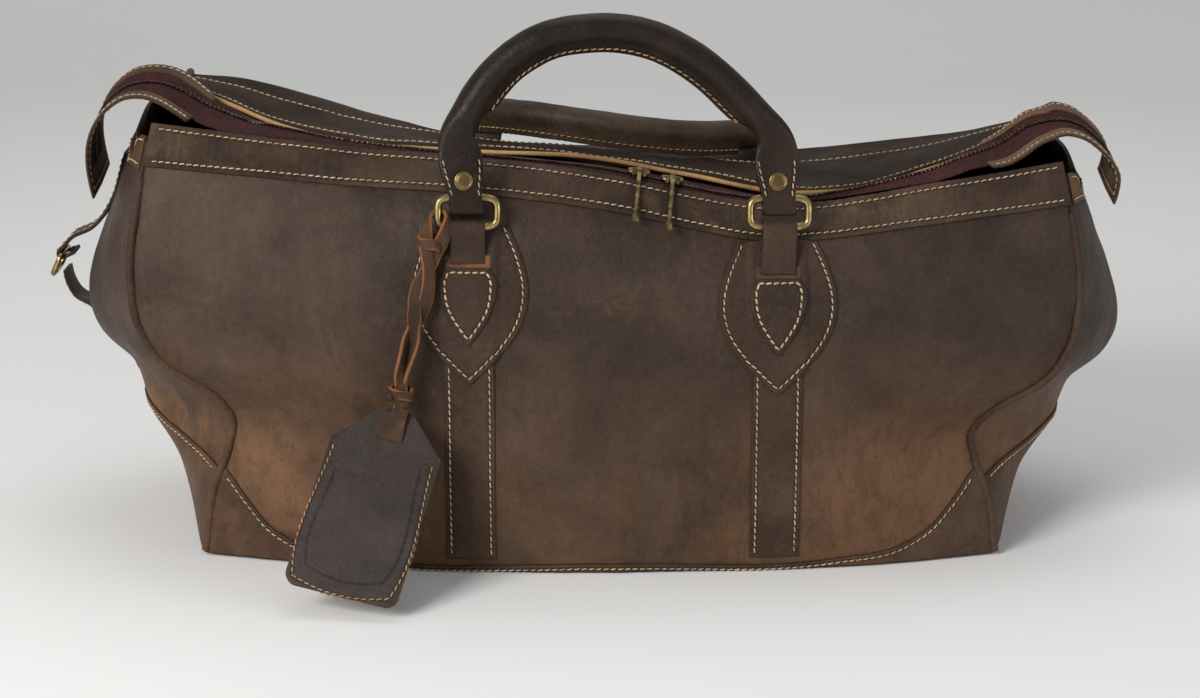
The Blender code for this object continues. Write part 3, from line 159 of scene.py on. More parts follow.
def unit(v):
    return v / np.linalg.norm(v, axis=-1, keepdims=True)


def blend(a, b, share):
    return a + (b - a) * share


# ---------------------------------------------------------------- the body's surfaces
def front_edge(x):
    return TALL * smooth(FRONT_EDGE, x / HALF)


def front_surface(s, t):
    """Front skin: s from -1 (left seam) to 1, t from 0 (floor) to 1 (top edge)."""
    x = HALF * smooth(SEAM_LENGTH, t) * s + LEAN * t
    seam = smooth(SEAM_DEPTH, t)
    y = -DEEP * blend(smooth(FRONT_DEPTH, t), seam, np.abs(s) ** 2.4)
    return np.stack([x, y, t * front_edge(x)], axis=-1)


def back_surface(s, v):
    """Back skin: v from 0 (floor) over the ridge at RIDGE_V to 1 (the bound edge beside the zip)."""
    up = np.minimum(v, RIDGE_V)
    over = share_of(v, RIDGE_V, 1 - RIDGE_V)
    rise = smooth(BACK_RISE, up)
    length = blend(smooth(SEAM_LENGTH, rise), 0.835, over)
    x = HALF * length * s + LEAN * rise
    y = DEEP * blend(smooth(BACK_DEPTH, up), smooth(BACK_SEAM_DEPTH, up), np.abs(s) ** 2.4)
    z = rise * TALL * smooth(RIDGE, x / HALF)
    y = blend(y, DEEP * smooth(BINDING_DEPTH, x / HALF), over)
    z = blend(z, TALL * smooth(BINDING_HEIGHT, x / HALF), over)
    return np.stack([x, y, z], axis=-1)


def end_surface(side, w, v):
    """Gusset skin: w from -1 (front seam) to 1 (back seam), v from 0 (floor) to 1 (top edge)."""
    flat = np.ones_like(w * v) * side
    front = front_surface(flat, v * np.ones_like(w))
    back = back_surface(flat, RIDGE_V * v * np.ones_like(w))
    point = blend(front, back, ((w + 1) / 2)[..., None])
    round_out = 1 - np.abs(w) ** 2.2
    point[..., 0] += side * HALF * smooth(END_BULGE, v) * round_out
    point[..., 2] -= END_DIP * v**8 * np.exp(-(((w + 0.35) / 0.33) ** 2))
    return point


def on_front(x, z):
    """Front skin at a place given by x and height."""
    t = z / front_edge(x)
    s = (x - LEAN * t) / (HALF * smooth(SEAM_LENGTH, t))
    return front_surface(s, t)


def on_back(x, z):
    """Back skin below the ridge, at a place given by x and height."""
    rise = z / (TALL * smooth(RIDGE, x / HALF))
    steps = np.linspace(0, RIDGE_V, 2400)
    v = np.interp(rise, smooth(BACK_RISE, steps), steps)
    s = (x - LEAN * rise) / (HALF * smooth(SEAM_LENGTH, rise))
    return back_surface(s, v)


def outward(surface, a, b, flip=False):
    """Unit normals of a two-way surface, by small steps."""
    h = 1e-4
    du = surface(a + h, b) - surface(a - h, b)
    dv = surface(a, b + h) - surface(a, b - h)
    n = unit(np.cross(du, dv))
    return -n if flip else n


def band_drop(s):
    """Height of the front band at s: it leans back in the middle of the bag, where it looks narrower."""
    return blend(0.0165, BAND, np.abs(s) ** 2.4)


# ---------------------------------------------------------------- the zip
# The tails' arch, as (distance from the bag's middle, height over the end of the front edge).
TAIL_ARCH = (
    (0.206, -0.0060), (0.228, 0.001), (0.249, 0.0105), (0.268, 0.0115), (0.284, 0.001),
    (0.2925, -0.018), (0.2920, -0.035), (0.2890, -0.050),
)
TAIL_CURL = 0.62  # share of its drop to which the right tail is pressed up
TAIL_TILT = (-0.0035, 0.0, 0.0060)  # height of a tail's front edge, middle and back edge over its arch
TAIL_START = (0.226, 0.200, 0.200)  # distance from the middle where each of them leaves the mouth
TAIL_HALF = 0.029  # half the width of a tail
TAIL_Y = -0.020  # y of a tail's middle
ZIP_END = 0.185  # distance from the middle where the zip leaves the mouth and rises into a tail
ZIP_BEHIND = ((0.0, 0.0080), (0.12, 0.0090), (0.16, 0.018), (0.185, 0.030))  # teeth behind the front edge
TOOTH = 0.0026  # half the width of the closed teeth
EDGING = 0.0150  # width of the leather along each side of a tail
ARCH_STEPS = 13
RIM_SHARE = 0.998  # the zip starts at this share of the front edge's height
ZIP_FROM = 0.022  # where the leather across a tail's tip ends, as a share of the zip's length
EDGING_ROOM = 0.0085  # width that the back edging leaves for the teeth and the tape
EDGING_LAP = 0.0018  # air in the zip's surface between the edging and the tape


def zip_lines():
    """The zip's front edge, middle and back edge, from the left tail's tip to the right one's."""
    x = np.linspace(-ZIP_END, ZIP_END, 23)
    rim = on_front(x, front_edge(x) * RIM_SHARE)
    front = rim + [0, 0.0022, 0.0010]
    middle = rim + [0, 0, 0.0016]
    middle[:, 1] += smooth(ZIP_BEHIND, np.abs(x))
    bound_y, bound_z = DEEP * smooth(BINDING_DEPTH, x / HALF), TALL * smooth(BINDING_HEIGHT, x / HALF)
    back = np.stack([x, bound_y - 0.0062, bound_z - 0.0024], axis=1)
    lines = [front, middle, back]
    for side in (-1, 1):
        top = float(front_edge(side * 0.26))
        out = 0.004 if side > 0 else 0.0
        drop = TAIL_CURL if side > 0 else 1.0
        outline = [(side * (x + out), 0.0, top + max(z, 0) + drop * min(z, 0)) for x, z in TAIL_ARCH]
        arch = through(outline, ARCH_STEPS)
        reach = np.abs(arch[:, 0])
        near_x = np.clip(arch[:, 0], -0.245, 0.245)
        rim_y = on_front(near_x, front_edge(near_x) * RIM_SHARE)[:, 1] + 0.0035
        for k, (line, across) in enumerate(zip(lines, (-TAIL_HALF, 0.0, TAIL_HALF))):
            tail = arch.copy()
            settle = share_of(reach, TAIL_START[k], 0.040)
            settle[ARCH_STEPS // 2:] = 1
            tail[:, 1] = blend((rim_y, -0.040, -0.020)[k], TAIL_Y + across, settle)
            tail[:, 2] += TAIL_TILT[k] * share_of(reach, 0.206, 0.03)
            if k > 0:
                near = DEEP * smooth(BINDING_DEPTH, tail[:, 0] / HALF) - (0.0195, 0.0075)[k - 1]
                free = np.arange(ARCH_STEPS) >= 6
                tail[:, 1] = np.where(free, tail[:, 1], np.minimum(tail[:, 1], near))
            lines[k] = np.concatenate([tail[::-1], line]) if side < 0 else np.concatenate([line, tail])
    return [through(line, 640) for line in lines]


def zip_surface(lines):
    """The zip's surface: a from 0 to 1 along it, w from 0 (front edge) over 0.5 (teeth) to 1 (back edge)."""
    count = len(lines[0])

    def surface(a, w):
        place = np.clip(a, 0, 1) * (count - 1)
        i = np.clip(place.astype(int), 0, count - 2)
        u = (place - i)[..., None]
        near, middle, far = (blend(line[i], line[i + 1], u) for line in lines)
        first = blend(near, middle, (2 * w)[..., None])
        second = blend(middle, far, (2 * w - 1)[..., None])
        return np.where(w[..., None] < 0.5, first, second)

    return surface


def zip_widths(surface, a):
    """Widths of the zip's front and back halves at a."""
    rows = [surface(a, np.full_like(a, w)) for w in (0.0, 0.5, 1.0)]
    return np.linalg.norm(rows[1] - rows[0], axis=1), np.linalg.norm(rows[2] - rows[1], axis=1)


# ---------------------------------------------------------------- soft relief of the hide
def lattice(cell, seed):
    """Repeatable values from -1 to 1 at whole-numbered places."""
    x, y, z = (cell[..., k].astype(np.int64) for k in range(3))
    h = (x * 374761393 + y * 668265263 + z * 1442695041 + seed * 974634777) & 0xFFFFFFFF
    h = ((h ^ (h >> 13)) * 1274126177) & 0xFFFFFFFF
    return ((h ^ (h >> 16)) & 0xFFFF) / 32767.5 - 1.0


def noise(points, size, seed=0):
    """Smooth noise from -1 to 1 whose lumps are about size across."""
    place = np.asarray(points, float) / size
    cell = np.floor(place)
    part = place - cell
    part = eased(part)
    total = 0.0
    for corner in np.ndindex(2, 2, 2):
        weight = np.prod(np.where(np.array(corner) == 1, part, 1 - part), axis=-1)
        total = total + weight * lattice(cell + np.array(corner), seed)
    return total


def relief(points):
    """Height of the hide's slack over the CAD surface."""
    squeezed = np.asarray(points) * [1.0, 1.0, 0.7]
    broad, middle, fine = noise(squeezed, 0.070, 1), noise(points, 0.031, 2), noise(points, 0.012, 3)
    return 0.0016 * broad + 0.0007 * middle + 0.00025 * fine


def relieved(surface, flip=False):
    """The surface with the hide's relief on it."""
    def soft(a, b):
        base = surface(a, b)
        return base + outward(surface, a, b, flip) * relief(base)[..., None]

    return soft


front_skin = relieved(front_surface)
back_skin = relieved(back_surface, True)
front_place = relieved(on_front)
back_place = relieved(on_back, True)


def end_skin(side):
    return relieved(lambda w, v: end_surface(side, w, v), side < 0)


# ---------------------------------------------------------------- making pieces
MARK_REACH = 0.02  # distances to an edge or a seam are kept up to this
EDGE_ROLL = 0.0006  # width over which a cut edge is rounded off
SEAM_SINK = 0.00045  # depth to which a stitch line pulls the leather down, and its width
SEAM_WIDE = 0.0010
GROOVE_SINK = 0.0009  # depth and width of a cut groove
GROOVE_WIDE = 0.0005
ENDS = ((-1, "left"), (1, "right"))  # which way each end lies along X


def nearest(points, marks):
    """Distance from each point to the nearest mark, up to MARK_REACH."""
    points = np.asarray(points).reshape(-1, 3)
    if len(marks) == 0:
        return np.full(len(points), MARK_REACH)
    tree = KDTree(len(marks))
    for k, mark in enumerate(marks):
        tree.insert(mark, k)
    tree.balance()
    return np.array([min(tree.find(p)[2], MARK_REACH) for p in points])


def dense(line, closed=False, step=0.0007):
    """The line with points close together."""
    line = np.asarray(line, float)
    if closed:
        line = np.concatenate([line, line[:1]])
    run = distances(line)
    at = np.arange(0, run[-1], step)
    return read_at(line, run, at)


def add(name, points, faces, finish, body, nodes=(), edge=None, seam=None, turn=40):
    """Makes a piece that rides on a body and stands for CAD nodes. edge and seam hold distances in metres."""
    mesh = bpy.data.meshes.new(name)
    mesh.from_pydata(np.asarray(points, float).tolist(), [], [[int(i) for i in f] for f in faces])
    for mark, values in (("edge", edge), ("seam", seam)):
        values = np.full(len(points), MARK_REACH) if values is None else np.asarray(values)
        mesh.attributes.new(mark, "FLOAT", "POINT").data.foreach_set("value", values.astype(np.float32))
    shape = bmesh.new()
    shape.from_mesh(mesh)
    bmesh.ops.recalc_face_normals(shape, faces=shape.faces)
    shape.to_mesh(mesh)
    shape.free()
    mesh.shade_smooth()
    mesh.set_sharp_from_angle(angle=math.radians(turn))
    mesh.materials.append(finish)
    piece = bpy.data.objects.new(name, mesh)
    bpy.context.scene.collection.objects.link(piece)
    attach(piece, body)
    if nodes:
        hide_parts(*nodes)
    return piece


def ticks(low, high, count, rim):
    """Even steps with extra ones close to both ends."""
    inner = np.linspace(low + rim, high - rim, count)
    return np.concatenate([[low, low + 0.35 * rim], inner, [high - 0.35 * rim, high]])


def seam_on(surface, a, b, height, flip=False):
    """A stitch line on a surface: its points and their normals."""
    a, b = np.broadcast_arrays(np.asarray(a, float), np.asarray(b, float))
    normal = outward(surface, a, b, flip)
    return surface(a, b) + normal * height, normal


def sheet_faces(rows, columns):
    """Border and faces of a closed sheet: a lower grid of points, an upper one, and the wall between them."""
    cell = lambda i, j: i * columns + j
    border = [cell(i, 0) for i in range(rows)]
    border += [cell(rows - 1, j) for j in range(1, columns)]
    border += [cell(i, columns - 1) for i in range(rows - 2, -1, -1)]
    border += [cell(0, j) for j in range(columns - 2, 0, -1)]
    over = rows * columns
    faces = []
    for i in range(rows - 1):
        for j in range(columns - 1):
            ring = [cell(i, j), cell(i + 1, j), cell(i + 1, j + 1), cell(i, j + 1)]
            faces.append([k + over for k in ring])
            faces.append(ring[::-1])
    for a, b in zip(border, border[1:] + border[:1]):
        faces.append([a, b, b + over, a + over])
    return border, faces


def layer(name, surface, us, vs, finish, body="shell", nodes=(), low=-0.0004, high=TRIM,
          flip=False, seams=(), round_off=0.0007, crinkle=0.0, grooves=()):
    """A sheet of leather on a surface, with rounded edges and grooves under its stitch lines."""
    us, vs = np.asarray(us, float), np.asarray(vs, float)
    u = np.repeat(us[:, None], vs.shape[-1], axis=1) if us.ndim == 1 else us
    v = np.repeat(vs[None, :], len(us), axis=0) if vs.ndim == 1 else vs
    base = surface(u, v)
    normal = outward(surface, u, v, flip)
    border, faces = sheet_faces(*u.shape)
    top = (base + normal * high).reshape(-1, 3)
    edge = nearest(top, dense(top[border], closed=True, step=0.001))
    marks = np.concatenate([dense(points) for points, _ in seams]) if seams else []
    seam = nearest(top, marks)
    sink = round_off * np.exp(-edge / EDGE_ROLL) + SEAM_SINK * np.exp(-((seam / SEAM_WIDE) ** 2))
    if grooves:
        groove = nearest(top, np.concatenate([dense(g) for g in grooves]))
        sink = sink + GROOVE_SINK * np.exp(-((groove / GROOVE_WIDE) ** 2))
    if crinkle:
        sink = sink - crinkle * noise(top, 0.0035, 5) * share_of(edge, 0.0, 0.002)
    top -= normal.reshape(-1, 3) * sink[:, None]
    bottom = (base + normal * low).reshape(-1, 3)
    return add(name, np.concatenate([bottom, top]), faces, finish, body, nodes,
               np.concatenate([edge, edge]), np.concatenate([seam, seam]), turn=50)


def circle(count, phase=0.0):
    """Cosines and sines of evenly spaced turns."""
    turn = (np.arange(count) + phase) * 2 * math.pi / count
    return np.cos(turn), np.sin(turn)


def squarer(value, power):
    """The value raised to a power with its sign kept, which pulls a circle out towards a square."""
    return np.sign(value) * np.abs(value) ** power


def section(wide, thick, corners=2.0, count=16, phase=0.5):
    """A rounded section: an ellipse where corners is 2, squarer as it grows."""
    c, s = circle(count, phase)
    power = 2 / corners
    return np.stack([wide * squarer(c, power), thick * squarer(s, power)], axis=1)


def swept(centres, sides, sections, closed=False):
    """Points and faces of a solid along centres, each section lying on its side vector."""
    centres = np.asarray(centres, float)
    if closed:
        along = unit(np.roll(centres, -1, axis=0) - np.roll(centres, 1, axis=0))
    else:
        along = unit(np.gradient(centres, axis=0))
    sides = np.asarray(sides, float)
    sides = unit(sides - along * np.sum(along * sides, axis=1, keepdims=True))
    ups = np.cross(along, sides)
    rings = []
    for centre, side, up, part in zip(centres, sides, ups, sections):
        rings.append(centre + np.outer(part[:, 0], side) + np.outer(part[:, 1], up))
    count = len(sections[0])
    faces = []
    for i in range(len(rings) - (0 if closed else 1)):
        a, b = i * count, (i + 1) % len(rings) * count
        faces += [[a + k, a + (k + 1) % count, b + (k + 1) % count, b + k] for k in range(count)]
    if not closed:
        faces.append(list(range(count))[::-1])
        faces.append([(len(rings) - 1) * count + k for k in range(count)])
    return np.concatenate(rings), faces


def beads(rings, sides):
    """Many small solids. rings has an array for each corner of each section: that corner of every solid."""
    points = np.stack(rings, axis=1)
    count = points.shape[1]
    faces = []
    for start in range(0, len(points) * count, count):
        for a in range(start, start + count - sides, sides):
            b = a + sides
            faces += [[a + j, a + (j + 1) % sides, b + (j + 1) % sides, b + j] for j in range(sides)]
        faces.append([start + j for j in range(sides)][::-1])
        faces.append([start + count - sides + j for j in range(sides)])
    return points.reshape(-1, 3), faces


def strap_edge(sections, wide):
    """Distance of each section point from the strap's nearer cut edge."""
    return np.concatenate([np.abs(np.abs(part[:, 0]) - w) for part, w in zip(sections, wide)])


def joined(parts):
    """Several (points, faces) as one."""
    points, faces, start = [], [], 0
    for some, polygons in parts:
        points.append(np.asarray(some, float))
        faces += [[k + start for k in f] for f in polygons]
        start += len(some)
    return np.concatenate(points), faces


def frame_from(origin, x_axis, z_hint=(0, 0, 1)):
    """A frame at origin whose X runs along x_axis and whose Z is as near to z_hint as it can be."""
    x = unit(np.array(x_axis, float))
    y = unit(np.cross(np.array(z_hint, float), x))
    made = np.eye(4)
    made[:3, 0], made[:3, 1], made[:3, 2], made[:3, 3] = x, y, np.cross(x, y), origin
    return Matrix(made.tolist())


def turned(frame_, angle):
    return frame_ @ Matrix.Rotation(angle, 4, "X")


def placed(frame_, points):
    m = np.array(frame_)
    return np.asarray(points, float) @ m[:3, :3].T + m[:3, 3]


def axis_of(frame_, k):
    return np.array(frame_)[:3, k]


def transported(centres, first):
    """Side vectors that turn as little as they can along a curve, from first."""
    along = unit(np.gradient(centres, axis=0))
    sides = [np.array(first, float)]
    for t in along:
        kept = sides[-1] - t * np.dot(sides[-1], t)
        sides.append(kept / np.linalg.norm(kept))
    return np.array(sides[1:])


# ---------------------------------------------------------------- stitches
STITCH = 0.0041  # from one stitch to the next
threads = {}


def stitch(body, finish, line, normals, pitch=STITCH, thick=0.00038, slant=0.16):
    """Lays a row of thread along a line. make_threads() joins the rows of one body and colour."""
    line, normals = np.asarray(line, float), np.asarray(normals, float)
    run = distances(line)
    at = np.arange(0.5 * pitch, run[-1], pitch)
    middle, normal = read_at(line, run, at), unit(read_at(normals, run, at))
    along = unit(read_at(line, run, at + 0.3 * pitch) - read_at(line, run, at - 0.3 * pitch))
    side = unit(np.cross(normal, along))
    along = unit(along + side * slant)
    side = unit(np.cross(normal, along))
    # Sections of one stitch: place along it, height over the leather and size.
    stations = (
        (-1.0, -0.7, 0.5), (-0.72, 0.35, 0.95), (0.0, 0.75, 1.1), (0.72, 0.35, 0.95), (1.0, -0.7, 0.5),
    )
    turn = np.arange(6) * math.pi / 3
    rings = []
    for place, height, size in stations:
        centre = middle + along * (place * 0.39 * pitch) + normal * (height * thick)
        for angle in turn:
            out, up = math.cos(angle) * size * thick, math.sin(angle) * size * thick
            rings.append(centre + side * out + normal * up)
    threads.setdefault((body, finish), []).append(beads(rings, len(turn)))


def make_threads():
    for (body, finish), rows in threads.items():
        points, faces = joined(rows)
        add(f"{body}_stitches_{finish.name}", points, faces, finish, body, turn=80)


# ---------------------------------------------------------------- materials
def nodes_of(name):
    made = bpy.data.materials.new(name)
    made.use_nodes = True
    return made, made.node_tree, made.node_tree.nodes["Principled BSDF"]


class Graph:
    """Short names for the node types that the materials use."""

    def __init__(self, name):
        self.material, self.tree, self.shader = nodes_of(name)
        self.place = self.new("ShaderNodeTexCoord").outputs["Object"]

    def new(self, kind, **settings):
        node = self.tree.nodes.new(kind)
        for key, value in settings.items():
            setattr(node, key, value)
        return node

    def link(self, value, socket):
        if isinstance(value, bpy.types.NodeSocket):
            self.tree.links.new(value, socket)
        else:
            socket.default_value = value

    def moved(self, shift=(0, 0, 0), scale=(1, 1, 1), turn=(0, 0, 0)):
        node = self.new("ShaderNodeMapping")
        self.link(self.place, node.inputs["Vector"])
        node.inputs["Location"].default_value = shift
        node.inputs["Rotation"].default_value = turn
        node.inputs["Scale"].default_value = scale
        return node.outputs["Vector"]

    def noise(self, scale, detail=4.0, rough=0.6, distort=0.0, vector=None):
        node = self.new("ShaderNodeTexNoise")
        self.link(vector or self.place, node.inputs["Vector"])
        for key, value in (("Scale", scale), ("Detail", detail), ("Roughness", rough),
                           ("Distortion", distort)):
            node.inputs[key].default_value = value
        return node.outputs["Fac"]

    def parts(self, vector):
        node = self.new("ShaderNodeSeparateXYZ")
        self.link(vector, node.inputs[0])
        return node.outputs

    def cells(self, scale, vector=None, feature="F1", smoothness=None):
        node = self.new("ShaderNodeTexVoronoi", feature=feature)
        self.link(vector or self.place, node.inputs["Vector"])
        node.inputs["Scale"].default_value = scale
        if smoothness is not None:
            node.inputs["Smoothness"].default_value = smoothness
        return node.outputs["Distance"]

    def ramp(self, value, low, high, start=0.0, end=1.0):
        node = self.new("ShaderNodeMapRange", interpolation_type="SMOOTHSTEP")
        self.link(value, node.inputs["Value"])
        for key, number in (("From Min", low), ("From Max", high), ("To Min", start), ("To Max", end)):
            node.inputs[key].default_value = number
        return node.outputs["Result"]

    def math(self, kind, a, b=0.0):
        node = self.new("ShaderNodeMath", operation=kind)
        self.link(a, node.inputs[0])
        self.link(b, node.inputs[1])
        return node.outputs["Value"]

    def mix(self, share, a, b, kind="MIX"):
        node = self.new("ShaderNodeMix", data_type="RGBA", blend_type=kind)
        self.link(share, node.inputs["Factor"])
        for value, socket in ((a, node.inputs["A"]), (b, node.inputs["B"])):
            self.link((*value, 1.0) if isinstance(value, tuple) else value, socket)
        return node.outputs["Result"]

    def mark(self, name):
        return self.new("ShaderNodeAttribute", attribute_name=name).outputs["Fac"]

    def bump(self, height, depth, below=None, strength=1.0):
        node = self.new("ShaderNodeBump")
        node.inputs["Strength"].default_value = strength
        node.inputs["Distance"].default_value = depth
        self.link(height, node.inputs["Height"])
        if below is not None:
            self.link(below, node.inputs["Normal"])
        return node.outputs["Normal"]

    def done(self, colour, roughness, normal=None, **fixed):
        self.link(colour if isinstance(colour, bpy.types.NodeSocket) else (*colour, 1.0),
                  self.shader.inputs["Base Color"])
        self.link(roughness, self.shader.inputs["Roughness"])
        if normal is not None:
            self.link(normal, self.shader.inputs["Normal"])
        for key, value in fixed.items():
            self.shader.inputs[key.replace("_", " ")].default_value = value
        return self.material


def leather(name, dark, mid, light, scuff, shift=0.0, rough=0.52, scuffs=0.56, wear=0.8, wrinkle=1.0,
            stretch=(1.0, 1.0, 1.0), rim=None, rim_wide=0.0008, rubbed_and_shaded=0.0, shine=0.18):
    """Oiled pull-up leather: clouds, tan scuffs and scratches, pores, creases with painted shade in their
    valleys, burnished edges, dark seams.

    The rubbing share sets how far the bulging lower parts and the bag's ends are worn back to the tan; when
    it is given, the middle and right of the bag also get painted shade, darker higher up."""
    g = Graph(name)
    here = g.moved((shift, shift * 0.7, shift * 1.3))
    cloud = g.noise(7.5, 7.0, 0.58, 0.5, here)
    colour = g.mix(g.ramp(cloud, 0.36, 0.54), dark, mid)
    colour = g.mix(g.ramp(cloud, 0.52, 0.74), colour, light)
    patch = g.noise(13.0, 9.0, 0.70, 0.7, g.moved((shift + 3.1, 1.7, 0.4), (1.0, 1.0, 0.62)))
    if rubbed_and_shaded:
        x, _, z = g.parts(g.place)
        low = g.ramp(z, 0.035, 0.150, 1.0, 0.0)
        far = g.ramp(g.math("ABSOLUTE", g.math("ADD", x, 0.02)), 0.06, 0.23)
        where = g.math("ADD", g.math("MULTIPLY", low, 0.55),
                       g.math("MULTIPLY", far, g.math("MULTIPLY", low, 0.8)))
        uneven = g.math("MULTIPLY", where, g.ramp(patch, 0.34, 0.60, 0.12, 1.0))
        colour = g.mix(g.math("MULTIPLY", uneven, rubbed_and_shaded), colour, scuff)
        # Painted shade: the middle and the right of the bag are mixed towards the dark tone, more strongly
        # higher up, standing in for the fall-off of a light from the left.
        kept = g.math("MULTIPLY", g.ramp(x, -0.17, -0.04), g.ramp(z, 0.05, 0.16, 0.25, 0.68))
        colour = g.mix(kept, colour, dark)
    mottle = g.noise(17.0, 6.0, 0.58, 0.8, here)
    deep = tuple(0.45 * c for c in dark)
    colour = g.mix(g.ramp(mottle, 0.30, 0.54, 0.42, 0.0), colour, deep)
    colour = g.mix(g.ramp(mottle, 0.48, 0.74, 0.0, 0.30), colour, light)
    speck = g.noise(300.0, 7.0, 0.80, 0.4, here)
    colour = g.mix(g.ramp(speck, 0.34, 0.52, 0.26, 0.0), colour, deep)
    colour = g.mix(g.ramp(speck, 0.50, 0.68, 0.0, 0.24), colour, light)
    colour = g.mix(g.ramp(patch, scuffs, scuffs + 0.16, 0.0, 0.55), colour, scuff)
    lines = g.cells(13.0, g.moved((shift, 0.3, 0.9), (1.0, 1.0, 0.30), (0.2, 0.5, 0.3)), "DISTANCE_TO_EDGE")
    broken = g.ramp(g.noise(34.0, 3.0, 0.6, 0.0, here), 0.56, 0.66)
    scratch = g.math("MULTIPLY", g.ramp(lines, 0.0, 0.007, 0.34, 0.0), broken)
    colour = g.mix(scratch, colour, light)
    grain = g.cells(900.0, g.moved((shift, 0, 0), stretch), "SMOOTH_F1", 0.7)
    fibre = g.noise(480.0, 5.0, 0.7, 0.0, here)
    crease = g.noise(120.0, 7.0, 0.66, 0.9, g.moved((shift, 2.0, 0.0), stretch, (0.0, 0.7, 0.0)))
    # Painted shade in the creases: where the crease pattern dips, in patches, the colour is mixed towards the
    # dark tone.
    crease_shade = g.math("MULTIPLY", g.ramp(crease, 0.40, 0.50, 1.0, 0.0), g.ramp(patch, 0.40, 0.62, 0.25, 1.0))
    colour = g.mix(g.math("MULTIPLY", crease_shade, 0.30), colour, dark)
    edge = g.mark("edge")
    worn = g.math("SUBTRACT", edge, g.math("MULTIPLY", mottle, rim_wide))
    colour = g.mix(g.ramp(worn, -0.4 * rim_wide, 0.6 * rim_wide, wear, 0.0), colour,
                   rim or tuple(0.55 * c for c in dark))
    seam = g.mark("seam")
    colour = g.mix(g.ramp(seam, 0.0003, 0.0022, 0.5, 0.0), colour, dark)
    bumps = g.bump(crease, 0.0011 * wrinkle)
    bumps = g.bump(grain, 0.00016, bumps)
    bumps = g.bump(fibre, 0.00022, bumps)
    bumps = g.bump(g.noise(38.0, 5.0, 0.6, 0.4, here), 0.0012 * wrinkle, bumps)
    gloss = g.ramp(g.noise(24.0, 6.0, 0.7, 0.2, here), 0.3, 0.7, rough - 0.08, rough + 0.14)
    return g.done(colour, gloss, bumps, Specular_IOR_Level=shine)


def brass(name, bright, dull):
    g = Graph(name)
    tone = g.noise(160.0, 6.0, 0.7, 0.4)
    colour = g.mix(g.ramp(tone, 0.40, 0.66), bright, dull)
    brushed = g.noise(900.0, 3.0, 0.6, 0.0, g.moved(scale=(1.0, 1.0, 0.15)))
    bumps = g.bump(brushed, 0.00003)
    bumps = g.bump(tone, 0.00010, bumps)
    return g.done(colour, g.ramp(tone, 0.35, 0.7, 0.24, 0.46), bumps, Metallic=1.0)


def cloth(name, colour_a, colour_b, scale=1500.0, rough=0.9):
    g = Graph(name)
    weave = g.math("MULTIPLY", g.noise(scale, 2.0, 0.5, 0.0, g.moved(scale=(1.0, 0.22, 0.22))),
                   g.noise(scale, 2.0, 0.5, 0.0, g.moved(scale=(0.22, 1.0, 1.0))))
    tone = g.noise(35.0, 5.0, 0.6)
    uneven = g.math("ADD", weave, g.math("MULTIPLY", tone, 0.3))
    colour = g.mix(g.ramp(uneven, 0.25, 0.6), colour_a, colour_b)
    return g.done(colour, rough, g.bump(weave, 0.00025), Specular_IOR_Level=0.1)


def thread(name, tone_a, tone_b):
    g = Graph(name)
    twist = g.noise(1100.0, 2.0, 0.5, 0.0, g.moved(scale=(1.0, 1.0, 0.6)))
    dirt = g.noise(60.0, 4.0, 0.6)
    uneven = g.math("ADD", g.math("MULTIPLY", twist, 0.5), g.math("MULTIPLY", dirt, 0.5))
    colour = g.mix(g.ramp(uneven, 0.38, 0.62), tone_b, tone_a)
    return g.done(colour, 0.7, g.bump(twist, 0.0001), Specular_IOR_Level=0.25)


HIDE_SKIN = leather("hide", (0.030, 0.0185, 0.0125), (0.058, 0.036, 0.025), (0.100, 0.064, 0.044),
                    (0.170, 0.085, 0.040), shift=2.3, scuffs=0.58, wear=0.2, rubbed_and_shaded=1.0,
                    stretch=(1.0, 1.0, 0.5))
HIDE_TRIM = leather("hide_trim", (0.034, 0.0195, 0.0125), (0.064, 0.038, 0.025), (0.118, 0.072, 0.046),
                    (0.180, 0.090, 0.042), shift=7.1, scuffs=0.60, rubbed_and_shaded=0.55)
HIDE_BACK = leather("hide_back", (0.026, 0.016, 0.0105), (0.050, 0.031, 0.021), (0.088, 0.056, 0.037),
                    (0.150, 0.078, 0.038), shift=33.3, scuffs=0.59, wear=0.2, shine=0.08, rough=0.62,
                    rubbed_and_shaded=0.8)
HIDE_BAND = leather("hide_band", (0.026, 0.0155, 0.0098), (0.056, 0.034, 0.022), (0.110, 0.068, 0.043),
                    (0.190, 0.100, 0.048), shift=4.4, scuffs=0.57, wrinkle=1.3, stretch=(2.6, 1.0, 0.35))
HIDE_TAN = leather("hide_tan", (0.052, 0.028, 0.015), (0.110, 0.062, 0.033), (0.175, 0.100, 0.052),
                   (0.260, 0.135, 0.058), shift=9.7, scuffs=0.55, wrinkle=0.8)
HIDE_GRIP = leather("hide_grip", (0.012, 0.0072, 0.0048), (0.024, 0.0140, 0.0090), (0.052, 0.032, 0.021),
                    (0.120, 0.066, 0.036), shift=12.9, rough=0.36, scuffs=0.58, wrinkle=0.25, shine=0.20)
HIDE_REAR = leather("hide_rear_grip", (0.030, 0.019, 0.012), (0.062, 0.040, 0.026), (0.120, 0.083, 0.056),
                    (0.170, 0.110, 0.065), shift=5.9, rough=0.46, scuffs=0.55, wrinkle=0.3, shine=0.2)
HIDE_TAG = leather("hide_tag", (0.028, 0.020, 0.0175), (0.044, 0.033, 0.029), (0.064, 0.049, 0.043),
                   (0.120, 0.062, 0.032), shift=15.2, scuffs=0.70, wrinkle=0.5, wear=0.5,
                   rim=(0.11, 0.06, 0.033))
HIDE_THONG = leather("hide_thong", (0.030, 0.017, 0.011), (0.060, 0.033, 0.020), (0.105, 0.054, 0.029),
                     (0.230, 0.095, 0.032), shift=18.6, rough=0.62, scuffs=0.54, wear=0.95, wrinkle=1.2,
                     rim=(0.230, 0.088, 0.030), rim_wide=0.0008)
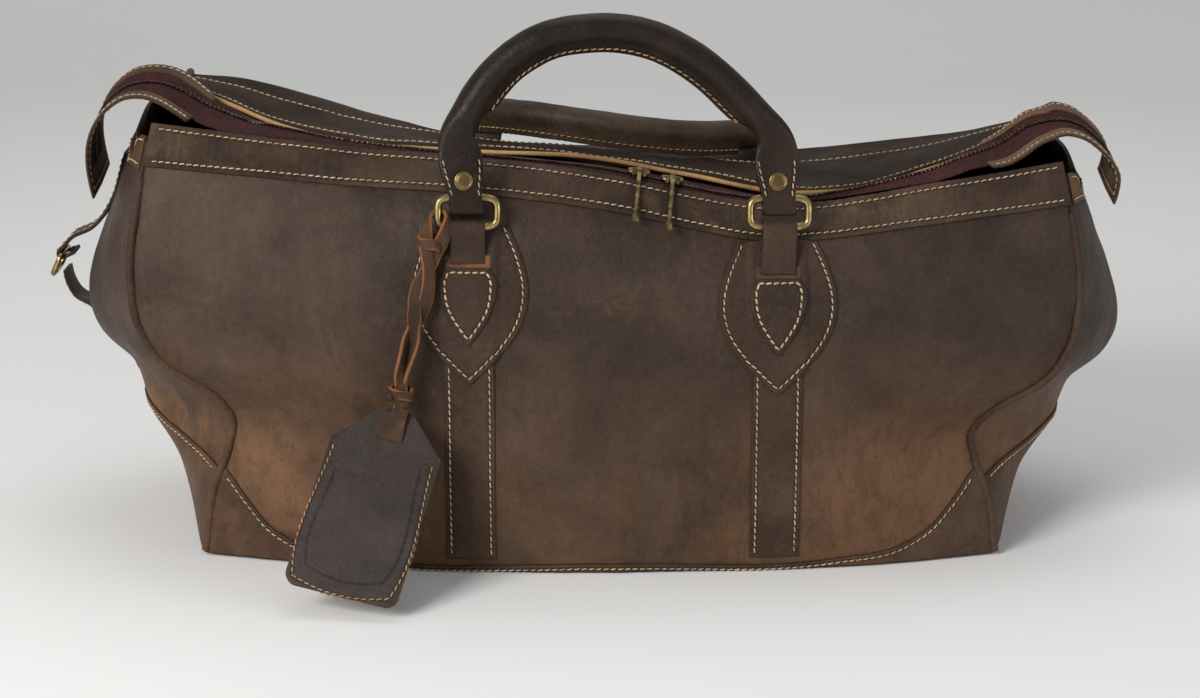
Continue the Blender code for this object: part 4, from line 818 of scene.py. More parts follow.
RAW_EDGE = leather("raw_edge", (0.070, 0.034, 0.017), (0.120, 0.058, 0.028), (0.170, 0.086, 0.042),
                   (0.250, 0.110, 0.040), shift=25.3, rough=0.66, scuffs=0.50, wrinkle=0.8)
BINDING = leather("natural_binding", (0.260, 0.135, 0.050), (0.430, 0.250, 0.105), (0.540, 0.340, 0.155),
                  (0.600, 0.380, 0.190), shift=21.0, rough=0.58, scuffs=0.60, wear=0.0, wrinkle=0.3)
BRASS = brass("aged_brass", (0.46, 0.35, 0.15), (0.19, 0.135, 0.06))
BRASS_RIVET = brass("rivet_brass", (0.26, 0.18, 0.075), (0.10, 0.068, 0.032))
BRASS_DARK = brass("dark_brass", (0.20, 0.145, 0.065), (0.06, 0.042, 0.022))
TEETH = brass("dark_teeth", (0.075, 0.047, 0.034), (0.018, 0.011, 0.008))
TAPE = cloth("burgundy_tape", (0.024, 0.0080, 0.0076), (0.080, 0.029, 0.027))
COTTON = cloth("lining_cotton", (0.13, 0.095, 0.06), (0.27, 0.20, 0.14), 900.0)
BOARD = cloth("fibre_board", (0.08, 0.06, 0.04), (0.16, 0.12, 0.08), 500.0)
CREAM = thread("cream_thread", (0.58, 0.45, 0.29), (0.30, 0.205, 0.115))
ORANGE = thread("tan_thread", (0.46, 0.29, 0.15), (0.24, 0.135, 0.06))


# ---------------------------------------------------------------- the shell
CLOSE = 0.994  # how far the visible skins run towards the seams


def build_skins():
    s = ticks(-CLOSE, CLOSE, 230, 0.01)
    layer("front_skin", front_skin, s, ticks(0.004, 0.998, 104, 0.01), HIDE_SKIN,
          nodes=("front_panel",), low=-HIDE, high=0.0)
    v = np.concatenate([ticks(0.004, 0.76, 76, 0.01), np.linspace(0.764, 0.88, 26),
                        np.linspace(0.89, 0.995, 20)])
    layer("back_skin", back_skin, s, v, HIDE_BACK, nodes=("back_panel",), low=-HIDE, high=0.0, flip=True)
    for side, hand in ENDS:
        w = ticks(-CLOSE, CLOSE, 110, 0.02)
        layer(f"{hand}_end_skin", end_skin(side), w, ticks(0.004, 0.958, 100, 0.01), HIDE_SKIN,
              nodes=(f"{hand}_gusset",), low=-HIDE, high=0.0, flip=side < 0)


def boot_top(s, edge, flip):
    high = smooth(BOOT_EDGE, np.abs(s) * 0.75) / edge(HALF * 0.75 * s)
    if flip:
        high = np.interp(high, [p[1] for p in BACK_RISE], [p[0] for p in BACK_RISE])
    return high


def build_boots():
    """Reinforcing leather round the base, stitched along its upper edge."""
    share = ticks(0, 1, 22, 0.03)
    inset = 0.0030 / TALL
    for name, skin, edge, flip in (
        ("front_boot", front_skin, front_edge, False),
        ("back_boot", back_skin, lambda x: TALL * smooth(RIDGE, x / HALF), True),
    ):
        s = np.concatenate([np.linspace(-CLOSE, -0.5, 90), np.linspace(-0.49, 0.49, 60),
                            np.linspace(0.5, CLOSE, 90)])
        high = boot_top(s, edge, flip)
        t = 0.005 + (high[:, None] - 0.005) * share[None, :]
        row = seam_on(skin, s[3:-3], high[3:-3] - inset, TRIM, flip)
        layer(name, skin, s, t, HIDE_TRIM, nodes=(name,), flip=flip, seams=(row,))
        stitch("shell", CREAM, *row)
    for side, hand in ENDS:
        w = np.linspace(-CLOSE, CLOSE, 120)
        high = 0.20 + 0.10 * (1 - w**2)
        t = 0.005 + (high[:, None] - 0.005) * share[None, :]
        skin = end_skin(side)
        row = seam_on(skin, w[3:-3], high[3:-3] - inset, TRIM, side < 0)
        layer(f"{hand}_end_boot", skin, w, t, HIDE_TRIM, nodes=(f"{hand}_end_boot",), flip=side < 0,
              seams=(row,))
        stitch("shell", CREAM, *row)


def build_piping():
    """Rolled leather in the four upright seams, with the stitch line's dents along it."""
    for side, hand in ENDS:
        t = np.linspace(0.010, 0.872, 260)
        front = front_surface(np.full_like(t, side), t)
        v = np.concatenate([np.linspace(0.010, 0.76, 220), np.linspace(0.764, 0.93, 60)])
        back = back_surface(np.full_like(v, side), v)
        for place, path, across in (("front", front, (0.0, 1.0, 0.0)), ("back", back, (0.3, 1.0, 0.9))):
            run = distances(path)
            swell = 1 + 0.07 * noise(path, 0.006, 9) + 0.04 * np.sin(run / 0.0046 * 2 * math.pi)
            path = path + 0.0005 * np.stack([noise(path, 0.02, k) for k in (11, 12, 13)], axis=1)
            parts = [section(PIPING * k, PIPING * k, count=14) for k in swell]
            points, faces = swept(path, np.tile(across, (len(path), 1)), parts)
            ends = np.minimum(run, run[-1] - run)
            add(f"{place}_{hand}_roll", points, faces, HIDE_TRIM, "shell", (f"{place}_{hand}_piping",),
                edge=np.repeat(ends + 0.003, 14))


# ---------------------------------------------------------------- bands
def build_bands():
    rows = ticks(0, 1, 20, 0.04)
    s = ticks(-1, 1, 300, 0.004)
    edge = front_edge(HALF * 0.85 * s)
    low = 1 - band_drop(s) / edge
    t = low[:, None] + (0.999 - low[:, None]) * rows[None, :]
    seams = [seam_on(front_skin, s[4:-4], (low + 0.0030 / edge)[4:-4], TRIM),
             seam_on(front_skin, s[4:-4], (0.999 - 0.0030 / edge)[4:-4], TRIM)]
    layer("front_band", front_skin, s, t, HIDE_BAND, nodes=("front_band",), seams=seams, crinkle=0.00022)
    x = HALF * 0.835 * s
    deep = DEEP * (0.57 - smooth(BINDING_DEPTH, x / HALF))
    inset = 0.0032 * (1 - RIDGE_V) / deep
    back_seams = [seam_on(back_skin, s[4:-4], (BACK_BAND_V + inset)[4:-4], TRIM, True),
                  seam_on(back_skin, s[4:-4], (0.990 - inset)[4:-4], TRIM, True)]
    layer("back_band", back_skin, s, ticks(BACK_BAND_V, 0.990, 60, 0.002), HIDE_BACK,
          nodes=("back_band",), flip=True, seams=back_seams, crinkle=0.00018)
    for side, hand in ENDS:
        w = ticks(-0.975, -0.08, 60, 0.01)
        v = ticks(0.892, 0.970, 22, 0.003)
        skin = end_skin(side)
        rows_here = [seam_on(skin, w[3:-3], np.full_like(w[3:-3], at), TRIM, side < 0)
                     for at in (0.904, 0.958)]
        layer(f"{hand}_end_band", skin, w, v, HIDE_TAN, nodes=(f"{hand}_end_band",), flip=side < 0,
              seams=rows_here)
        seams += rows_here
    for row in seams + back_seams:
        stitch("shell", CREAM, *row)
    s = np.linspace(-CLOSE, CLOSE, 420)
    path = back_surface(s, np.full_like(s, 1.0)) + [0.0, -0.0014, 0.0004]
    path = path + 0.0003 * np.stack([noise(path, 0.018, k) for k in (21, 22, 23)], axis=1)
    swell = 1 + 0.10 * noise(path, 0.008, 24)
    points, faces = swept(path, np.tile([0.0, 1.0, 0.0], (len(path), 1)),
                          [section(0.0016 * k, 0.0013 * k, count=12) for k in swell])
    add("bound_edge_roll", points, faces, BINDING, "shell", ("bound_edge",), edge=np.full(len(points), 0.01))


# ---------------------------------------------------------------- the zip
def build_zip(surface):
    a = np.concatenate([np.linspace(ZIP_FROM, 0.18, 130), np.linspace(0.182, 0.818, 260),
                        np.linspace(0.82, 1 - ZIP_FROM, 130)])
    front, back = zip_widths(surface, a)
    x = np.abs(surface(a, np.full_like(a, 0.5))[:, 0])
    edging = EDGING * share_of(x, 0.19, 0.035)
    back_edging = np.minimum(edging, back - EDGING_ROOM)
    share = np.linspace(0, 1, 9)
    teeth = 0.5 * TOOTH * 0.35
    under = 0.003  # how far each tape runs under the leather edging
    for name, low, high in (
        ("front", 0.5 * np.maximum(edging - under, 0) / front, 0.5 - teeth / front),
        ("back", 0.5 + teeth / back, 1 - 0.5 * np.maximum(back_edging - under, 0) / back - 0.002),
    ):
        w = low[:, None] + (high - low)[:, None] * share[None, :]
        layer(f"{name}_tape", surface, a, w, TAPE, nodes=(f"zip_tape_{name}",), low=-0.0005, high=0.0003,
              round_off=0.0002)
    build_teeth(surface)


def build_teeth(surface):
    """Separate metal teeth, clamped on each tape's edge and meshing in the middle."""
    pitch = 0.0030
    fine = np.linspace(ZIP_FROM, 1 - ZIP_FROM, 3000)
    line = surface(fine, np.full_like(fine, 0.5))
    run = distances(line)
    # A tooth's section, as shares of its length and height, and (reach from its tape, size) of its sections.
    lower = ((-0.50, -0.5), (-0.32, -1.0), (0.32, -1.0), (0.50, -0.5))
    profile = lower + tuple((-u, -w) for u, w in lower)
    stations = ((-0.10, 0.55), (0.10, 0.95), (0.55, 0.80), (0.85, 1.0), (1.0, 0.7))
    for name, hand, start in (("front", -1, 0.25), ("back", 1, 0.75)):
        at = np.interp(np.arange(start * pitch, run[-1] - 0.001, pitch), run, fine)
        here = surface(at, np.full_like(at, 0.5))
        along = unit(surface(at + 0.001, np.full_like(at, 0.5)) - surface(at - 0.001, np.full_like(at, 0.5)))
        normal = outward(surface, at, np.full_like(at, 0.5 + 0.03 * hand))
        side = unit(np.cross(normal, along)) * (1 if name == "back" else -1)
        rings = []
        for reach, size in stations:
            across = side * (-0.0006 + reach * (TOOTH + 0.0004))
            for u, w in profile:
                long, high = u * size * 0.74 * pitch, w * size * 0.00125 + 0.0002
                rings.append(here + across + along * long + normal * high)
        points, faces = beads(rings, len(profile))
        add(f"{name}_teeth", points, faces, TEETH, "shell", (f"zip_teeth_{name}",), turn=35)


def build_zip_tails(surface):
    """Leather edging along both sides of each tail and round its tip, with one stitch line through it that
    shows on both faces.
    """
    rest = 0.172
    for hand, ends in (("left", False), ("right", True)):
        tip, inner = (0.995, 1 - ZIP_FROM - 0.002) if ends else (0.005, ZIP_FROM + 0.002)
        start = 1 - rest if ends else rest

        def around(u, v, tip=tip, inner=inner, start=start):
            """u: down the front side, across the tip and back up. v: from the outer edge to the inner one."""
            part = np.clip(np.floor(u), 0, 2)
            share = u - part
            reach = blend(tip, inner, v)
            a = np.where(part == 0, blend(start, reach, share),
                         np.where(part == 2, blend(reach, start, share), reach))
            f, b = (width.reshape(a.shape) for width in zip_widths(surface, a.ravel()))
            edging = EDGING - EDGING_LAP
            w_front = v * np.minimum(0.5 * edging / f, 0.38)
            w_back = 1 - v * 0.5 * (np.minimum(EDGING, b - EDGING_ROOM) - EDGING_LAP) / b
            w = np.where(part == 0, w_front, np.where(part == 2, w_back, blend(w_front, w_back, share)))
            return surface(a, w)

        side = -1 if ends else 1
        u = np.concatenate([np.linspace(0.0, 0.999, 150), np.linspace(1.0, 1.999, 40),
                            np.linspace(2.0, 2.999, 150)])
        rows = []
        place = u[(u > 0.02) & (u < 2.97)]
        line = around(place, np.full_like(place, 0.30))
        across = around(place, np.full_like(place, 1.0)) - around(place, np.full_like(place, 0.0))
        normal = unit(np.cross(np.gradient(line, axis=0), across)) * -side
        for face in (1, -1):
            rows.append((line + face * normal * 0.0008, face * normal))
        build_edging(f"{hand}_zip_tail", around, u, ticks(0, 1, 12, 0.05), rows, -side)
        for row in rows:
            stitch("shell", CREAM, *row)


def build_edging(name, around, u, v, rows, way):
    """The edging as one closed sheet, with normals from its own grid."""
    grid = around(np.repeat(u[:, None], len(v), axis=1), np.repeat(v[None, :], len(u), axis=0))
    normal = unit(np.cross(np.gradient(grid, axis=0), np.gradient(grid, axis=1))) * way
    border, faces = sheet_faces(*grid.shape[:2])
    flat = grid.reshape(-1, 3)
    edge = nearest(flat, dense(flat[border], closed=True, step=0.001))
    seam = nearest(flat, np.concatenate([dense(points) for points, _ in rows]))
    height = 0.0010 - 0.0007 * np.exp(-edge / EDGE_ROLL) - 0.0003 * np.exp(-((seam / 0.0012) ** 2))
    top = flat + normal.reshape(-1, 3) * height[:, None]
    bottom = flat - normal.reshape(-1, 3) * height[:, None]
    add(name, np.concatenate([bottom, top]), faces, HIDE_TAN, "shell", (name,), np.concatenate([edge, edge]),
        np.concatenate([seam, seam]), turn=50)


# ---------------------------------------------------------------- straps, shields and chapes
FACES = (
    ("front", on_front, front_place, False),
    ("back", on_back, back_place, True),
)
INNER_SHAPE = ((0.0, 0.05), (0.2, 0.46), (0.45, 0.86), (0.68, 1.0), (0.88, 0.98), (1.0, 0.80))
INNER_HALF = 0.0146
DRAPE = 0.004  # width beside a strap over which a shield falls to the panel


def raised(surface, flip, x, over):
    """The surface lifted by TRIM where it passes over a strap at x, falling softly beside it."""
    def draped(a, b):
        base = surface(a, b)
        gap = np.abs(a - x) - over
        lift = TRIM * (1 - eased(share_of(gap, 0.0, DRAPE)))
        return base + outward(surface, a, b, flip) * lift[..., None]

    return draped


def shaped(surface, x, half, shape, low, high):
    """A pointed outline on a surface: a from -1 to 1 across, h from the tip (0) to the top (1)."""
    def patch(a, h):
        return surface(x + a * half * smooth(shape, h), low + (high - low) * h)

    return patch


def outline_row(surface, x, half, shape, low, high, inset, height, flip, top=True):
    """A stitch line just inside a pointed outline, from one upper corner round the tip to the other."""
    h = np.linspace(0, 1, 240)
    side = half * smooth(shape, h)
    z = low + (high - low) * h
    slope = unit(np.stack([np.gradient(side), np.gradient(z)], axis=1))
    inner_x = side - slope[:, 1] * inset
    inner_z = z + slope[:, 0] * inset
    keep = (inner_x > 0.0003) & (inner_z < high - (inset if top else 0.0))
    right = np.stack([x + inner_x[keep], inner_z[keep]], axis=1)
    left = np.stack([x - inner_x[keep], inner_z[keep]], axis=1)
    line = np.concatenate([left[::-1], right])
    if top:
        across = np.linspace(line[-1], line[0], 30)[1:]
        line = np.concatenate([line, across])
    return seam_on(surface, line[:, 0], line[:, 1], height, flip)


def build_straps_and_shields():
    for place, _, skin, flip in FACES:
        for k, hand in enumerate(("left", "right")):
            x = HANDLE_AT[k]
            across = lambda a, h, x=x, skin=skin: skin(x + a, h)
            wide = ticks(-STRAP_HALF, STRAP_HALF, 26, 0.0006)
            height = np.linspace(0.0085, 0.150, 170)
            rows = []
            for side in (-1, 1):
                z = np.linspace(0.011, 0.150, 200)
                rows.append(seam_on(skin, np.full_like(z, x + side * (STRAP_HALF - 0.0026)), z, TRIM, flip))
            layer(f"{place}_{hand}_strap", across, wide, height, HIDE_TRIM, nodes=(f"{place}_{hand}_strap",),
                  flip=flip, seams=rows, crinkle=0.00012)
            over = raised(skin, flip, x, STRAP_HALF)
            body = (over, x, SHIELD_HALF, SHIELD_SHAPE, SHIELD_TIP[k], SHIELD_PEAK[place][k])
            row = outline_row(*body, 0.0029, TRIM, flip, top=False)
            layer(f"{place}_{hand}_shield", shaped(*body), ticks(-1, 1, 96, 0.02), ticks(0, 1, 120, 0.01),
                  HIDE_TRIM, nodes=(f"{place}_{hand}_shield",), flip=flip, seams=(row,))
            for line in (*rows, row):
                stitch("shell", CREAM, *line)


def bar_places():
    """Centres of the ring bars in the chapes, as the CAD has them."""
    stand_off = RAISED + TRIM + GAP + 2 * TRIM + LOOP_SPACE + WIRE
    found = {}
    for place, face, _, flip in FACES:
        ends = []
        for k, x in enumerate(HANDLE_AT):
            z = BAR_HEIGHT[k] if place == "front" else float(
                back_surface(np.array(x / (HALF * 0.86)), np.array(BACK_BAR_V))[2])
            here, height = np.array([x]), np.array([z])
            ends.append(face(here, height)[0] + outward(face, here, height, flip)[0] * stand_off)
        found[place] = ends
    return found


def build_chapes(bars):
    """A strap loops round each ring's lower bar and ends under a small stitched shield."""
    for place, face, skin, flip in FACES:
        away = 1 if flip else -1
        line = unit(bars[place][1] - bars[place][0]) * away
        for k, hand in enumerate(("left", "right")):
            x, bar = HANDLE_AT[k], bars[place][k]
            tip, shoulder = CHAPE_TIP[k], CHAPE_SHOULDER[k]
            if place == "back":
                shoulder = bar[2] - 0.016
                tip = shoulder - 0.042
            over = raised(skin, flip, x, STRAP_HALF)
            top_skin = lambda a, b, over=over: over(a, b) + outward(over, a, b, flip) * TRIM
            small = (top_skin, x, INNER_HALF, INNER_SHAPE, tip, shoulder)
            row = outline_row(*small, 0.0024, TRIM + 0.0002, flip)
            layer(f"{place}_{hand}_small_shield", shaped(*small), ticks(-1, 1, 60, 0.03),
                  ticks(0, 1, 70, 0.02), HIDE_TRIM, nodes=(f"{place}_{hand}_chape",), flip=flip,
                  seams=(row,), high=TRIM + 0.0002)
            stitch("shell", CREAM, *row, thick=0.00055)
            strip = lambda a, h, x=x: top_skin(x + a, shoulder - 0.002 + h)
            layer(f"{place}_{hand}_cut_edge", strip, ticks(-0.0125, 0.0125, 30, 0.0005),
                  ticks(0, 0.0085, 14, 0.0004), RAW_EDGE, flip=flip, high=0.0007)
            height = np.linspace(shoulder + 0.002, shoulder + 0.0045, 5)
            here = np.full_like(height, x)
            tail = top_skin(here, height) + outward(face, here, height, flip) * 0.0012
            normal = outward(face, np.array([x]), np.array([bar[2] - 0.003]), flip)[0]
            up = np.cross(line, normal)
            bend = WIRE + 0.0010
            arc = [bar + bend * (normal * math.cos(u) + up * math.sin(u))
                   for u in np.linspace(-0.40, math.pi, 30)]
            hidden = [bar - normal * bend - up * d for d in (0.003, 0.006, 0.009)]
            path = through(np.concatenate([tail[:1], tail[-1:], arc, hidden]), 70)
            half = 0.0096
            parts = [section(half, 0.0010, corners=9, count=28)] * len(path)
            points, faces = swept(path, np.tile(line, (len(path), 1)), parts)
            add(f"{place}_{hand}_loop", points, faces, HIDE_TRIM, "shell",
                edge=strap_edge(parts, [half] * len(path)))


# ---------------------------------------------------------------- rings and handles
RING_TILT = {"front": math.radians(-9), "back": math.radians(52)}
HANDLE_TILT = {"front": math.radians(-11), "back": math.radians(84)}
# Middle of the grip, as (x from the middle between the rings, height over their upper bars).
HANDLE_PATH = (
    (-0.0863, 0.0075), (-0.0898, 0.0180), (-0.0915, 0.0290), (-0.0857, 0.0457), (-0.0755, 0.0620),
    (-0.0610, 0.0765), (-0.0420, 0.0872), (-0.0158, 0.0915), (-0.0005, 0.0912), (0.0160, 0.0875),
    (0.0440, 0.0725), (0.0605, 0.0580), (0.0736, 0.0443), (0.0840, 0.0302), (0.0885, 0.0180),
    (0.0870, 0.0075),
)
SLANT_TOP = 0.034  # up to there each strap end leans in a straight line from its ring
FIN_TURN = {"front": 0.0, "back": math.radians(-120)}  # how far the sewn seam is rolled round the grip
# Shares of the grip's length from either end, as one number or as (start, span).
SET_BACK_OVER = 0.16  # over which it moves from beside the ring bar to the middle of the bar
ROLL_FROM = 0.055  # where the flat strap starts rolling into the grip
ROLL_OVER = 0.10
FIN_RISE = (0.15, 0.04)  # where the sewn fin rises
FIN_TURNS = (0.10, 0.10)  # where the fin rolls round the grip
FIN_REACH = 0.0111  # from the grip's middle to the fin's stitches
# Heights over the ring bars, as (start, span).
SLANT_FADE = (0.014, 0.034)  # where a strap end's straight lean passes into the grip's arch
SKEW_RISE = (0.022, 0.073)  # where the rear grip's skew grows
REAR_SKEW = 0.11
RIVET_UP = 0.0090  # height of the rivets over the ring bars
RIVET_HEAD = 0.0053
TAB_AT = 0.0022
GRIP_SIDES = 44  # points round the grip's section
STRAP_AT = 0.0030
# Half the width of a handle's flat end, by its height over the ring's bar.
FLARE = (
    (0.0, 0.0094), (0.005, 0.0099), (0.012, 0.0112), (0.020, 0.0120), (0.029, 0.0112), (0.040, 0.0098),
    (0.055, 0.0086),
)


def build_rings(bars):
    tops = {}
    for place, (left, right) in bars.items():
        upright = frame_from((left + right) / 2, right - left)
        tilted = turned(upright, RING_TILT[place])
        inverse = np.array(upright.inverted())
        for hand, bar in (("left", left), ("right", right)):
            middle = inverse[:3, :3] @ bar + inverse[:3, 3]
            c, s = circle(120)
            x = middle[0] + RING_WIDE / 2 * squarer(c, 0.45)
            z = RING_TALL / 2 * (1 + squarer(s, 0.45))
            wire_loop(f"{place}_{hand}_ring", tilted, x, z, section(WIRE * 1.2, WIRE * 1.1),
                      f"{place}_rings")
        tops[place] = tilted @ Matrix.Translation((0, 0, RING_TALL))
    return tops


def wire_loop(name, frame_, x, z, wire, body):
    """A closed brass wire through the (x, z) points of a frame, with evenly spaced steps."""
    path = np.stack([x, np.zeros_like(x), z], axis=1)
    path = placed(frame_, resampled(path, len(x) - 10))
    sides = np.tile(axis_of(frame_, 1), (len(path), 1))
    points, faces = swept(path, sides, [wire] * len(path), closed=True)
    add(name, points, faces, BRASS, body, (name,), turn=70)


def resampled(loop, count):
    """The closed loop with evenly spaced points."""
    loop = np.concatenate([loop, loop[:1]])
    run = distances(loop)
    at = np.linspace(0, run[-1], count + 1)[:-1]
    return read_at(loop, run, at)


def grip_section(flat, fin, height, count=GRIP_SIDES):
    """An oval grip with a sewn fin on its inner side; flat goes to 1 where it becomes a strap."""
    grip = section(0.0085, 0.0106, count=count, phase=0.0)
    strap = section(float(smooth(FLARE, height)), 0.0023, corners=7, count=count, phase=0.0)
    part = blend(grip, strap, flat)
    turn = (np.arange(count) * 2 * math.pi / count + math.pi) % (2 * math.pi) - math.pi
    near = np.exp(-((turn / 0.33) ** 2)) * fin
    part[:, 0] += 0.0044 * near
    part[:, 1] *= 1 - 0.35 * near
    return part


def slanted(low_x, top_x):
    """x of a strap end by its height: a straight lean from low_x at the ring to top_x at SLANT_TOP."""
    return lambda z: low_x + (top_x - low_x) * share_of(z, -0.010, SLANT_TOP + 0.010)


def build_handle(place, bars, ring_tops):
    """A strap end loops under each ring's upper bar, then the strap rolls into the grip."""
    axes = np.array(ring_tops[place])
    frame_ = turned(frame_from(axes[:3, 3], axes[:3, 0]), HANDLE_TILT[place])
    inverse = np.array(frame_.inverted())
    middle = [float((inverse[:3, :3] @ b + inverse[:3, 3])[0]) for b in bars[place]]
    bend = WIRE + 0.0012
    slack = {"front": 0.0055, "back": 0.0016}[place]
    outside = 1.0 if place == "front" else -1.0
    around = np.linspace(math.pi, 2 * math.pi, 16)
    loop = [(0.0, TAB_AT, 0.024), (0.0, TAB_AT, 0.015), (0.0, TAB_AT, 0.008)]
    loop += [(0.0, -bend * math.cos(u), bend * math.sin(u) - slack) for u in around]
    loop += [(0.0, -bend, 0.0010)]
    ends = np.array(loop) * [1, outside, 1]
    count = 150
    arch = np.array([(x, 0.0, z) for x, z in HANDLE_PATH])
    grip = through(arch, count)
    share = np.linspace(0, 1, count)
    near_end = np.minimum(share, 1 - share)
    ease = share_of(near_end, 0.0, SET_BACK_OVER)
    grip[:, 1] = blend(-STRAP_AT * outside, 0.0, eased(ease))
    if place == "back":
        grip[:, 1] -= REAR_SKEW * grip[:, 0] * share_of(grip[:, 2], *SKEW_RISE)
    slants = []
    for half, low_x in zip((share < 0.5, share > 0.5), middle):
        order = np.argsort(grip[half, 2])
        top_x = float(np.interp(SLANT_TOP, grip[half, 2][order], grip[half, 0][order]))
        slants.append(slanted(low_x, top_x))
        ease = share_of(grip[half, 2], *SLANT_FADE)
        grip[half, 0] = blend(slants[-1](grip[half, 2]), grip[half, 0], eased(ease))
    left, right = ends.copy(), ends[::-1].copy()
    left[:, 0] = slants[0](left[:, 2])
    right[:, 0] = slants[1](right[:, 2])
    path = np.concatenate([left, grip, right])
    along = unit(np.gradient(grip, axis=0))
    inward = np.cross(np.array([0.0, 1.0, 0.0]), along)
    flat = np.clip(1 - (near_end - ROLL_FROM) / ROLL_OVER, 0, 1)
    flat = eased(flat)
    fin = share_of(near_end, *FIN_RISE)
    turned_by = FIN_TURN[place] * share_of(near_end, *FIN_TURNS)
    over = np.cross(along, inward)
    fin_way = inward * np.cos(turned_by)[:, None] + over * np.sin(turned_by)[:, None]
    fin_side = over * np.cos(turned_by)[:, None] - inward * np.sin(turned_by)[:, None]
    facing = np.stack([np.where(share < 0.5, 1.0, -1.0), 0 * share, 0 * share], axis=1)
    grip_sides = unit(blend(fin_way, facing, flat[:, None]))
    sides = np.concatenate([np.tile([1.0, 0, 0], (len(left), 1)), grip_sides,
                            np.tile([-1.0, 0, 0], (len(right), 1))])
    tab = section(0.0090, 0.0012, corners=7, count=GRIP_SIDES, phase=0.0)
    parts = [tab] * len(left)
    parts += [grip_section(f, g, z) for f, g, z in zip(flat, fin, grip[:, 2])]
    parts += [tab] * len(right)
    wide = np.array([part[:, 0].max() for part in parts])
    strap_like = np.concatenate([np.ones(len(left)), flat, np.ones(len(right))])
    edge = strap_edge(parts, wide) + np.repeat(0.01 * (1 - strap_like), GRIP_SIDES)
    points, faces = swept(path, sides, parts)
    body = f"{place}_grip"
    points = placed(frame_, points)
    swell = noise(points, 0.011, 31) * 0.00022 + noise(points, 0.004, 32) * 0.00008
    centres = placed(frame_, np.repeat(path, GRIP_SIDES, axis=0))
    points = points + unit(points - centres + 1e-9) * swell[:, None]
    finish = HIDE_GRIP if place == "front" else HIDE_REAR
    turn = np.array(frame_)[:3, :3].T
    rows = []
    for face in (-1, 1):
        keep = fin > 0.5
        line = grip[keep] + fin_way[keep] * FIN_REACH + face * 0.0030 * fin_side[keep]
        normal = face * fin_side[keep] + fin_way[keep] * 0.35
        rows.append((placed(frame_, line), unit(normal) @ turn, ORANGE))
    high = np.linspace(0.0006, 0.0210, 26)
    for slant in slants:
        centre = slant(high)
        ahead = np.interp(high, [0.0010, 0.0075, 0.0150],
                          [bend + 0.0013, STRAP_AT + 0.0025, STRAP_AT + 0.0026])
        for side in (-1, 1):
            over = side * (np.array([float(smooth(FLARE, z)) for z in high]) - 0.0022)
            line = np.stack([centre + over, -outside * ahead, high], axis=1)
            rows.append((placed(frame_, line), np.tile([0.0, -outside, 0.0], (len(line), 1)) @ turn, CREAM))
    seam = nearest(points, np.concatenate([dense(line) for line, *_ in rows]))
    add(f"{place}_handle", points, faces, finish, body, (f"{place}_handle",), edge, seam, turn=60)
    for line, normal, colour in rows:
        stitch(body, colour, line, normal, thick=0.00034)
    for hand, slant in zip(("left", "right"), slants):
        x = float(slant(RIVET_UP))
        head = outside * -(STRAP_AT + 0.0023)
        tail = outside * (TAB_AT + 0.0012)
        build_rivet(f"{place}_{hand}_rivet", frame_, (x, RIVET_UP), head, tail, body)


def build_rivet(name, frame_, at, head, tail, body):
    """A domed cap in a pressed seat, with its shank and its washer behind."""
    out = 1 if head > tail else -1
    cap = [(0.0, 0.00105), (0.0018, 0.00103), (0.0033, 0.00096), (0.0038, 0.00080), (0.0041, 0.00100),
           (0.0047, 0.00092), (0.0051, 0.00064), (RIVET_HEAD, 0.00030), (0.0049, 0.0), (0.0040, -0.0004)]
    profile = [(r, head + out * y) for r, y in cap]
    profile += [(0.0020, head - out * 0.0004), (0.0020, tail), (0.0038, tail), (0.0040, tail - out * 0.0005),
                (0.0034, tail - out * 0.0010), (0.0, tail - out * 0.0011)]
    points, faces = lathe(profile, at)
    add(name, placed(frame_, points), faces, BRASS_RIVET, body, (name,), turn=50)


def lathe(profile, at, count=40):
    """Turns (radius, y) points about the local Y through at, an (x, z) place."""
    points, rings = [], []
    for radius, y in profile:
        if radius == 0:
            rings.append([len(points)])
            points.append((at[0], y, at[1]))
            continue
        rings.append(list(range(len(points), len(points) + count)))
        turn = np.arange(count) * 2 * math.pi / count
        points += [(at[0] + radius * math.cos(u), y, at[1] + radius * math.sin(u)) for u in turn]
    faces = []
    for a, b in zip(rings, rings[1:]):
        for k in range(count):
            n = (k + 1) % count
            if len(a) == 1:
                faces.append([a[0], b[k], b[n]])
            elif len(b) == 1:
                faces.append([a[n], a[k], b[0]])
            else:
                faces.append([a[n], a[k], b[k], b[n]])
    return points, faces


# ---------------------------------------------------------------- zip sliders and pulls
SLIDER_AT = (0.0213, 0.0398)
PULL_LONG = 0.041
PULL_HALF = 0.0008
TRAVEL = 0.055


def plate(outline, low, high, bevel=0.0003):
    """A plate over an outline in X and Y, from low to high, with its upper and lower edges broken."""
    outline = np.array(outline, float)
    middle = outline.mean(axis=0)
    out = outline - middle
    inner = middle + out * (1 - bevel / np.linalg.norm(out, axis=1, keepdims=True))
    rings = [(inner, low), (outline, low + bevel), (outline, high - bevel), (inner, high)]
    points = np.concatenate([np.column_stack([ring, np.full(len(ring), z)]) for ring, z in rings])
    count = len(outline)
    faces = []
    for i in range(3):
        a, b = i * count, (i + 1) * count
        faces += [[a + k, a + (k + 1) % count, b + (k + 1) % count, b + k] for k in range(count)]
    faces.append(list(range(count))[::-1])
    faces.append([3 * count + k for k in range(count)])
    return points, faces


